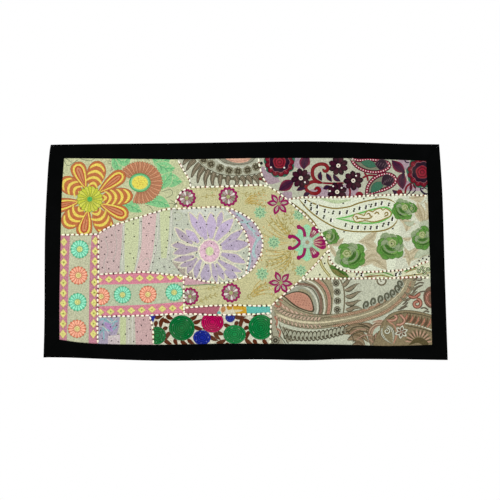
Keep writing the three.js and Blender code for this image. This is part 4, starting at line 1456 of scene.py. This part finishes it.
def hatched_corner(cloth):
    """The hatched ground at the lower right, with its fans, eyes and scrolls."""
    cloth.lay(strip([(299, 64), (318, 83), (348, 93), (388, 90), (432, 78)],
                    [(274, 5), (318, 5), (432, 5)]), dye(143, 129, 98), 0, None, UMBER, 1.2)
    for k in range(16):
        x = 303 + 8 * k
        cloth.lay(stroke([(x, 75 - k % 3), (x - 12, 19)], 1.0), dye(122, 108, 80))
    drawn_lines(cloth, UMBER, 2.2, (
        [(308, 64), (323, 77), (351, 87), (388, 84), (432, 73)], [(356, 56), (395, 48), (432, 36)],
    ))
    drawn_lines(cloth, CHALK, 2.7, ([(351, 62), (388, 56), (432, 41)],))
    for k in range(9):
        x = 361 + 7.2 * k
        cloth.lay(leaf([(x, 86 - 1.5 * k), (x - 3, 75 - 1.7 * k), (x - 11, 65 - 1.9 * k)], 5),
                  (dye(184, 128, 104), dye(104, 80, 60))[k % 2], 0, None, dye(84, 72, 52), 0.8)
    coated_lines(cloth, ((7.9, UMBER), (5.7, dye(182, 128, 106)), (1.7, dye(210, 172, 150))), (
        [(310, 70), (318, 68), (330, 70), (335, 77), (328, 81)],
        [(342, 83), (348, 78), (354, 68), (346, 59), (333, 58)],
    ))
    for k in range(19):
        cloth.lay(leaf(ray((388, 13), 172 - 9.2 * k, 15, 35), 3.2),
                  (dye(196, 156, 132), dye(96, 82, 58))[k % 2])
    cloth.lay(drop([(363, 7), (388, 20), (413, 7)], 15), dye(88, 78, 48))
    for width, colour in ((35, UMBER), (32, CHALK), (28, UMBER), (25, CHALK), (22, dye(142, 132, 100))):
        cloth.lay(drop([(324, 10), (315, 30), (304, 55)], width, 0.62), colour)
    coated_lines(cloth, ((5, UMBER), (2.7, CHALK)), (coil((310, 42), 8.4, -1.2, 100, 0.3),))
    drawn_lines(cloth,
                dye(188,
                    140, 116), 3.2, ([(313, 66), (327, 57), (334, 41), (332, 24), (326, 11)],))
    for k in range(6):
        cloth.lay(leaf(ray((346, 40), 60 * k + 80, 1.5, 17), 9.7), CHALK, 0, None, UMBER, 0.7)
        cloth.lay(leaf(ray((346, 40), 60 * k + 80, 2.5, 13), 5.2), dye(112, 84, 66))
    cloth.lay(disc((346, 40), 2.7), dye(176, 140, 116))
    coated_lines(cloth, ((7.4, UMBER), (5.5, dye(160, 132, 106)), (1.5, dye(200, 176, 148))),
                 ([(266, 35), (270, 48), (283, 58), (297, 59)],))
    cloth.lay(drop([(275, 30), (283, 44), (294, 49)], 9.9), dye(190, 200, 176))


def small_scrolls(cloth):
    """The scrolls and sprays between the large motifs and at the right edge."""
    drawn_lines(cloth, dye(176, 122, 100), 4.5, (
        coil((42, 110), 12, 1.2, 30, 0.3), [(368, 126), (378, 124), (390, 129)],
        [(36, 49), (46, 42), (43, 27)], [(31, 79), (38, 67), (36, 54)],
    ))
    cloth.lay(disc((421, 126), 21, 1.3), dye(120, 96, 78))
    whorl = coil((0, 0), 21, -1.4, 70, 0.2) * (0.82, 1.2)
    coated_lines(cloth, ((12, UMBER), (9.9, dye(150, 104, 86)), (4, dye(120, 84, 68)),
                         (1.7, dye(206, 150, 130))), (whorl + (419, 126),))
    drawn_lines(cloth, dye(104, 96, 80), 4, (
        [(373, 136), (385, 149), (400, 157)], [(375, 126), (393, 139), (408, 141)],
        [(378, 154), (390, 162), (403, 161)], [(375, 166), (385, 174), (398, 174)],
        [(383, 169), (393, 168), (398, 172)], [(343, 99), (353, 104), (363, 114)],
        [(393, 98), (403, 100), (413, 94)], [(400, 89), (408, 92), (415, 88)],
        [(336, 95), (348, 98), (361, 105)], [(348, 107), (356, 113), (361, 121)],
    ))
    coated_lines(cloth, ((8.9, UMBER), (6.4, dye(164, 98, 82)), (1.7, dye(200, 152, 130))),
                 (coil((384, 110), 12, -1.2, 95, 0.3), [(363, 129), (378, 126), (393, 136)]))
    nested_discs(cloth, (297, 167), (13, TAUPE), (8.9, CHALK))
    cloth.lay(stroke(coil((297, 167), 6, 1, 0), 2.5), TAUPE)
    ringed_dot(cloth, (34, 19), 11)
    drawn_lines(cloth, UMBER, 2, (
        [(43, 57), (53, 37), (64, 12)], [(53, 54), (63, 35), (73, 15)],
    ))


def stitched_disc(cloth, at, radius, squash, colour):
    """A solid disc of stitches laid round and round, ring within ring. The dark grooves between the rings are
    painted shade, and the pale spots on it are painted highlights.
    """
    # painted shade: a darkened copy of the colour lies in the grooves between the rings
    deep = tuple(c * 0.38 for c in colour)
    reach = radius
    while reach > 3:
        cloth.lay(disc(at, reach, squash), deep, 0.6, ("ring", at))
        cloth.lay(disc(at, reach - 1.8, squash), colour, 0.8, ("ring", at))
        reach -= 5.0
    # painted highlights: pale spots in a lightened copy of the colour, mostly at the rim
    light = tuple(c + 0.2 * (0.6 - c) for c in colour)
    for k in range(int(radius * 1.1)):
        angle, out = math.radians(SEED_TURN * k), radius * (0.99 if k % 3 else 0.72)
        spot = (at[0] + out * math.cos(angle), at[1] + out * squash * math.sin(angle))
        cloth.lay(disc(spot, 1.3), light, 0.8)


def disc_print():
    cloth = Print(dye(225, 223, 200), (-245, -510))
    brown = dye(88, 40, 18)
    for start, end in (
        ((19, 78), (37, 79)), ((25, 66), (23, 53)), ((41, 73), (35, 49)), ((42, 72), (58, 64)),
        ((50, 81), (65, 73)), ((51, 50), (40, 44)), ((58, 39), (49, 21)), ((45, 21), (61, 11)),
        ((70, 22), (76, 9)), ((86, 18), (99, 11)), ((103, 22), (117, 12)), ((107, 72), (124, 81)),
        ((115, 63), (134, 71)), ((118, 54), (138, 48)), ((158, 30), (175, 20)), ((169, 40), (182, 22)),
        ((175, 41), (191, 35)), ((175, 14), (196, 22)), ((193, 59), (208, 55)), ((217, 79), (243, 78)),
        ((226, 65), (220, 55)), ((239, 73), (233, 48)), ((242, 72), (259, 64)), ((252, 52), (242, 45)),
        ((254, 41), (248, 21)), ((246, 22), (262, 11)), ((266, 21), (274, 11)), ((289, 21), (299, 12)),
        ((266, 83), (276, 79)), ((146, 45), (140, 54)), ((197, 12), (207, 6)),
    ):
        bow = ((start[0] + end[0]) / 2 + (end[1] - start[1]) * 0.12,
               (start[1] + end[1]) / 2 - (end[0] - start[0]) * 0.12)
        start, end = (tuple(p + 0.14 * (p - q) for p, q in zip(one, two))
                      for one, two in ((start, end), (end, start)))
        cloth.lay(leaf([start, bow, end], 9.7, 0.75), brown, 0.25, ("line", 45), dye(58, 26, 12), 0.4)
    green, pink, blue = dye(0, 112, 52), dye(182, 0, 82), dye(22, 40, 146)
    for at, radius, squash, colour in (
        ((26, 31), 22, 1.0, green), ((87, 50), 32, 0.98, green), ((163, 64), 28, 0.92, pink),
        ((137, 26), 22, 0.84, blue), ((207, 76), 12, 1.0, blue), ((218, 34), 28, 0.84, dye(8, 132, 66)),
        ((283, 52), 31, 1.0, dye(8, 124, 60)),
    ):
        stitched_disc(cloth, at, radius, squash, colour)
    cloth.lay(np.array([(3, 84), (23, 84), (16, 63)]), blue, 0.4, ("line", 30))
    return cloth


def remnant_print():
    cloth = Print(dye(228, 220, 190), (-165, -445))
    panels(cloth, ([(3, 54), (107, 54), (103, 39)], [(3, 4), (87, 4), (94, 19)],
                   dye(184, 106, 122)))
    cloth.lay(leaf([(108, 22), (110, 32), (114, 39)], 12), dye(196, 140, 90))
    cloth.lay(leaf([(118, 44), (126, 34), (132, 42)], 12), dye(200, 150, 50))
    panels(cloth, ([(134, 54), (171, 54), (166, 39)], [(134, 32), (151, 9), (170, 9)],
                   dye(214, 166, 48)))
    cloth.lay(leaf([(132, 32), (141, 27), (159, 29)], 6.4), dye(226, 216, 176))
    panels(cloth, ([(167, 59), (167, 34), (171, 4)], [(241, 59), (241, 34), (241, 4)],
                   dye(106, 198, 184)))
    cloth.lay(leaf([(94, 19), (99, 24), (104, 17)], 6.4), dye(110, 190, 180))
    return cloth


def lilac_corner_print():
    cloth = Print(dye(204, 202, 184), (-385, -510))
    panels(
        cloth, ([(4, 89), (4, 5)], [(74, 89), (69, 45), (54, 5)], dye(176, 166, 186)),
        ([(75, 89), (73, 5)], [(89, 89), (88, 5)], dye(206, 216, 166)),
        ([(110, 89), (113, 5)], [(153, 89), (163, 5)], dye(212, 178, 176)),
        ([(44, 30), (44, 5)], [(74, 35), (74, 5)], dye(214, 200, 200)),
    )
    for points, width in (
        ([(22, 69), (34, 72), (49, 64), (69, 67)], 6), ([(29, 54), (39, 45), (54, 45), (66, 54)], 6),
        ([(22, 35), (32, 45), (34, 20)], 5), ([(49, 74), (59, 62), (51, 52)], 5),
        ([(34, 84), (39, 74), (32, 59)], 4),
    ):
        cloth.lay(stroke(points, width * 0.8), dye(144, 182, 190))
    cloth.lay(leaf([(34, 64), (46, 54), (56, 40)], 12), dye(180, 150, 200))
    drawn_lines(cloth, dye(224, 224, 212), 1.6, (
        [(22, 54), (34, 52), (46, 37)], [(42, 72), (54, 64), (66, 74)], [(94, 84), (96, 49), (94, 10)],
        [(105, 84), (104, 10)], [(49, 25), (61, 30), (71, 20)],
    ))
    return cloth


# The cord couched over every seam: cream stitches with dark ties between them

CORD_PITCH = 11.9                  # from one cream stitch to the next
CORD_SIZE = (9.2, 4.6, 2.9)        # length, width and height of a cream stitch
TIE_SIZE = (2.5, 6.2, 2.6)
CORD_REST = 2.1                    # how far the cord's middle stands forward of the cloth's back
BEAD_PITCH = 10.2                  # tighter and rounder along the pale pieces on the right
BEAD_SIZE = (6.7, 5.0, 3.0)
KNOT_SIZE = (3.4, 3.0, 2.6)
THREAD_ROUND = 1.6                 # mean radius of a stitch, round which its threads are wound
SEAM_STEP = 1.5                    # how closely an outline is looked at for its seams
SEAM_GAP = 0.8                     # pieces that are nearer than this are sewn together
SHORTEST_SEAM = 14
CORD_CREAM = dye(255, 250, 228)
CORD_TIES = (dye(86, 30, 22), dye(120, 44, 30), dye(60, 26, 20), dye(140, 72, 44))
BEADED = ({"damson_floral_patch", "rose_patch"}, {"rose_patch", "cream_sliver_patch"},
          {"cream_sliver_patch", "paisley_print_patch"})
KNOTS = (                          # coloured knots at the seams' ends, by their places in the hanging
    ("rosette_band_upright", (-366, -227), dye(70, 20, 20)),
    ("rosette_band_upright", (-366, -328), dye(70, 20, 20)),
    ("marigold_patch", (-170, -167), dye(96, 40, 26)), ("rosette_band_level", (-138, -112), dye(110, 24, 34)),
    ("rose_patch", (408, -314), dye(130, 24, 30)), ("crescent_patch", (0, -221), dye(160, 26, 50)),
    ("crescent_patch", (31, -231), dye(160, 26, 50)),
)


def stitch_shape():
    """One plump stitch, a metre long and wide and half a metre high, that is set out along seams."""
    bpy.ops.object.select_all(action="DESELECT")
    bpy.ops.mesh.primitive_uv_sphere_add(segments=8, ring_count=6, radius=0.5, rotation=(0, math.pi / 2, 0))
    stitch = bpy.context.object
    bpy.ops.object.transform_apply(rotation=True)
    for vertex in stitch.data.vertices:
        vertex.select = vertex.co.x > 0.05
    bpy.ops.object.mode_set(mode="EDIT")
    bpy.ops.transform.resize(value=(0.8, 1, 1), center_override=(0.5, 0, 0))
    bpy.ops.mesh.select_all(action="SELECT")
    bpy.ops.mesh.quads_convert_to_tris()
    bpy.ops.object.mode_set(mode="OBJECT")
    shape = np.array([tuple(v.co) for v in stitch.data.vertices])
    faces = np.array([tuple(p.vertices) for p in stitch.data.polygons])
    bpy.data.objects.remove(stitch)
    return shape / (shape.max(0) - shape.min(0)), faces


STITCH = stitch_shape()


def joined_stitches(name, stitches, rest, material):
    """One mesh from many stitches. Each is (place, direction, size, colour), and rest says how far
    forward of the wall each one's place is, all in mm."""
    shape, faces = STITCH
    places = np.array([s[0] for s in stitches])
    ways = np.array([s[1] for s in stitches])
    sizes = np.array([s[2] for s in stitches])
    sides = np.column_stack([-ways[:, 1], ways[:, 0]])
    count = len(shape)
    along = shape[None, :, 0] * sizes[:, :1]
    across = shape[None, :, 1] * sizes[:, 1:2]
    x = places[:, :1] + along * ways[:, :1] + across * sides[:, :1]
    z = places[:, 1:] + along * ways[:, 1:] + across * sides[:, 1:]
    y = -(rest[:, None] + sizes[:, 2:] * shape[None, :, 2])
    verts = np.stack([x, y, z], 2).reshape(-1, 3) * MM
    everything = (faces[None] + count * np.arange(len(stitches))[:, None, None]).reshape(-1, 3)
    turn = np.arctan2(shape[:, 2], shape[:, 1])
    wound = np.stack([np.broadcast_to(turn * THREAD_ROUND, along.shape), along], 2).reshape(-1, 2) * MM
    colours = np.repeat(np.array([s[3] for s in stitches]), len(faces), axis=0)
    piece = dressed_mesh(name, verts, everything, colours, np.ones(everything.shape),
                         verts[everything][:, :, [0, 2]], wound[everything])
    piece.data.materials.append(material)
    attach(piece, "root")
    return piece


def shared_edges(one, other):
    """The lines along which two pieces meet, as places in mm."""
    ring = even_ring(RINGS[one], SEAM_STEP)
    gap, _ = edge_distance(ring, RINGS[other])
    near = gap < SEAM_GAP
    if near.all() or not near.any():
        return []
    first = int(np.flatnonzero(near & ~np.roll(near, 1))[0])
    ring, near = np.roll(ring, -first, axis=0), np.roll(near, -first)
    runs = np.split(ring, np.flatnonzero(near[1:] != near[:-1]) + 1)[::2]
    return [run for run in runs if length_of(run) > SHORTEST_SEAM]


def varied(size):
    return tuple(s * random.uniform(0.85, 1.15) for s in size)


def seam_stitches(run, beaded):
    """Cream stitches with dark ties between them along one seam."""
    pitch, size = (BEAD_PITCH, BEAD_SIZE) if beaded else (CORD_PITCH, CORD_SIZE)
    steps = max(2, round(length_of(run) / pitch))
    middle = curve(run[::4] if len(run) > 12 else run, steps * 2 + 1)
    stitches = []
    for k in range(1, 2 * steps + 1):
        way = middle[min(k + 1, 2 * steps)] - middle[k - 1]
        way = way / np.linalg.norm(way)
        shift = np.array([random.uniform(-0.5, 0.5), random.uniform(-0.5, 0.5)])
        tilt = random.uniform(-0.08, 0.08)
        way = np.array([way[0] - tilt * way[1], way[1] + tilt * way[0]])
        if k % 2:
            length = size[0] * random.uniform(0.9, 1.08)
            cream = tuple(c * random.uniform(0.88, 1.0) for c in CORD_CREAM)
            width = size[1] * random.uniform(0.9, 1.1)
            stitches.append((middle[k] + shift, way, (length, width, size[2]), cream))
        elif k < 2 * steps:
            tie = random.choice(CORD_TIES)
            stitches.append((middle[k] + shift * 0.6, way, varied(TIE_SIZE), tie))
    return stitches


def lace_for(pieces, material):
    """The cord of every seam, each kept with the first of its two pieces."""
    random.seed(5)
    owned = {}
    for i, one in enumerate(pieces):
        for other in pieces[i + 1:]:
            for run in shared_edges(one, other):
                owned.setdefault(one, []).extend(seam_stitches(run, {one, other} in BEADED))
    for node, place, colour in KNOTS:
        owned[node].append((np.array(place, float), np.array([1.0, 0.0]), KNOT_SIZE, colour))
    cords = {}
    for node, stitches in owned.items():
        places = np.array([stitch[0] for stitch in stitches])
        rest = swell(places[:, 0], places[:, 1]) + CORD_REST
        name = node.replace("_patch", "") + "_cord"
        cords[node] = joined_stitches(name, stitches, rest, material)
    return cords


# Small dark sequins, scattered over the printed flower cloth

SEQUIN_SIZE = (3.1, 3.1, 1.4)
SEQUIN_LIFT = 0.3
SEQUINS_APART = 14
SEQUIN_CLEAR = 6                   # how far sequins keep from a seam
SEQUINS = {"striped_flower_patch": 112, "lilac_corner_patch": 20, "crescent_patch": 7, "rose_patch": 8}


def scattered(node, count):
    ring = RINGS[node]
    low, high = ring.min(0), ring.max(0)
    places = []
    while len(places) < count:
        place = np.array([random.uniform(low[0], high[0]), random.uniform(low[1], high[1])])
        if all(np.linalg.norm(place - p) > SEQUINS_APART for p in places) and inside(ring, place[None])[0]:
            if edge_distance(place[None], ring)[0][0] > SEQUIN_CLEAR:
                places.append(place)
    return places


def sequins_for(node, material):
    places = scattered(node, SEQUINS[node])
    stitches = [(place, np.array([1.0, 0.0]), varied(SEQUIN_SIZE), dye(40, 36, 40)) for place in places]
    rest, _ = front_height(np.array(places), even_ring(RINGS[node], SEAM_SPACING), PATCH_THICKNESS, PLUMP)
    return joined_stitches(node.replace("_patch", "") + "_sequins", stitches, rest + SEQUIN_LIFT,
                           material)


# The pieces, each with its print and its CAD node

BORDER_NODES = ("border_top", "border_foot", "border_left", "border_right")
PATCHES = {
    "marigold_patch": (marigold_print, "marigold_cloth"),
    "rosette_band_upright": (upright_band_print, "band_cloth"),
    "rosette_band_level": (level_band_print, "band_cloth"),
    "striped_flower_patch": (striped_flower_print, "stripe_cloth"),
    "crescent_patch": (crescent_print, "lilac_cloth"),
    "arch_patch": (arch_print, "tan_cloth"),
    "feather_print_patch": (feather_print, "sage_cloth"),
    "damson_floral_patch": (damson_floral_print, "damson_cloth"),
    "rose_patch": (rose_print, "rose_cloth"),
    "cream_sliver_patch": (cream_sliver_print, "cream_cloth"),
    "paisley_print_patch": (paisley_print, "paisley_cloth"),
    "disc_patch": (disc_print, "disc_cloth"),
    "remnant_strip": (remnant_print, "remnant_cloth"),
    "lilac_corner_patch": (lilac_corner_print, "lilac_cloth"),
}
cord_material = cloth_material("cord thread", row=0.0007, stitch=0.004, fade=0.03, fleck=0.1,
                               depth=0.0003)
sequin_material = cloth_material("dark sequin", depth=0.0, sheen=0.0, rough=0.35)
black_cotton = cloth_material("black cotton", pitch=0.0016, fade=0.03, fleck=0.2, faded=(0.02, 0.02, 0.022),
                              depth=0.0003, sheen=0.0, shine=0.01)
random.seed(9)
SEQUIN_PIECES = {node: sequins_for(node, sequin_material) for node in SEQUINS}
CORDS = lace_for(list(PATCHES), cord_material)
for node, (draw, slot) in PATCHES.items():
    material = cloth_material(slot.replace("_", " ") + " of " + node.replace("_", " "))
    cloth_piece(node, node + "_cloth", draw(), PATCH_THICKNESS, GRID, PLUMP, material)
for node in BORDER_NODES:
    cloth_piece(node, node + "_cloth", Print(dye(6, 7, 7)), BORDER_THICKNESS, BORDER_GRID, BORDER_PLUMP,
                black_cotton)


# The floor, the light and the camera

FLOOR_MIDDLE = (0, -0.45, -1.05)
FLOOR_SIZE = (2.6, 1.8, 1)
LIT_PLACE = (0, 0, -0.27)          # what the lights point at


def plain_floor():
    bpy.ops.object.select_all(action="DESELECT")
    bpy.ops.mesh.primitive_plane_add(size=1, location=FLOOR_MIDDLE)
    floor = bpy.context.object
    floor.name = "floor"
    floor.scale = FLOOR_SIZE
    bpy.ops.object.transform_apply(location=True, rotation=True, scale=True)
    material = bpy.data.materials.new("pale floor")
    material.use_nodes = True
    shader = material.node_tree.nodes["Principled BSDF"]
    shader.inputs["Base Color"].default_value = (0.82, 0.82, 0.81, 1)
    shader.inputs["Roughness"].default_value = 0.9
    floor.data.materials.append(material)


def soft_light(name, place, size, power):
    data = bpy.data.lights.new(name, "AREA")
    data.shape = "SQUARE"
    data.size = size
    data.energy = power
    lamp = bpy.data.objects.new(name, data)
    bpy.context.scene.collection.objects.link(lamp)
    lamp.location = place
    lamp.rotation_euler = (Vector(LIT_PLACE) - Vector(place)).to_track_quat("-Z", "Y").to_euler()


def white_room(strength):
    """A white background that lights the cloth less than it shows."""
    world = bpy.data.worlds.new("white room")
    bpy.context.scene.world = world
    world.use_nodes = True
    tree = world.node_tree
    background = tree.nodes["Background"]
    background.inputs["Color"].default_value = (1, 1, 1, 1)
    seen = add_node(tree, "ShaderNodeLightPath").outputs["Is Camera Ray"]
    level = add_node(tree, "ShaderNodeMapRange", {0: seen, 1: 0.0, 2: 1.0, 3: strength, 4: 1.0}).outputs[0]
    tree.links.new(level, background.inputs["Strength"])


# The photograph is taken straight on, with the hanging a little to the left of its middle
VIEW_WIDTH = 1.24
VIEW_MIDDLE = (0.011, -0.267)
CAMERA_DISTANCE = 4.0
SENSOR = 36


def face_on_camera():
    data = bpy.data.cameras.new("camera")
    data.sensor_width = SENSOR
    data.lens = SENSOR * CAMERA_DISTANCE / VIEW_WIDTH
    camera = bpy.data.objects.new("camera", data)
    bpy.context.scene.collection.objects.link(camera)
    camera.location = (VIEW_MIDDLE[0], -CAMERA_DISTANCE, VIEW_MIDDLE[1])
    camera.rotation_euler = (math.pi / 2, 0, 0)
    bpy.context.scene.camera = camera


plain_floor()
soft_light("key", (-1.6, -2.2, 1.4), 1.2, 36)
soft_light("fill", (1.8, -2.6, 0.3), 1.8, 16)
soft_light("behind", (0.6, 2.2, 0.9), 1.6, 26)
white_room(0.8)
face_on_camera()
bpy.context.scene.view_settings.view_transform = "Standard"
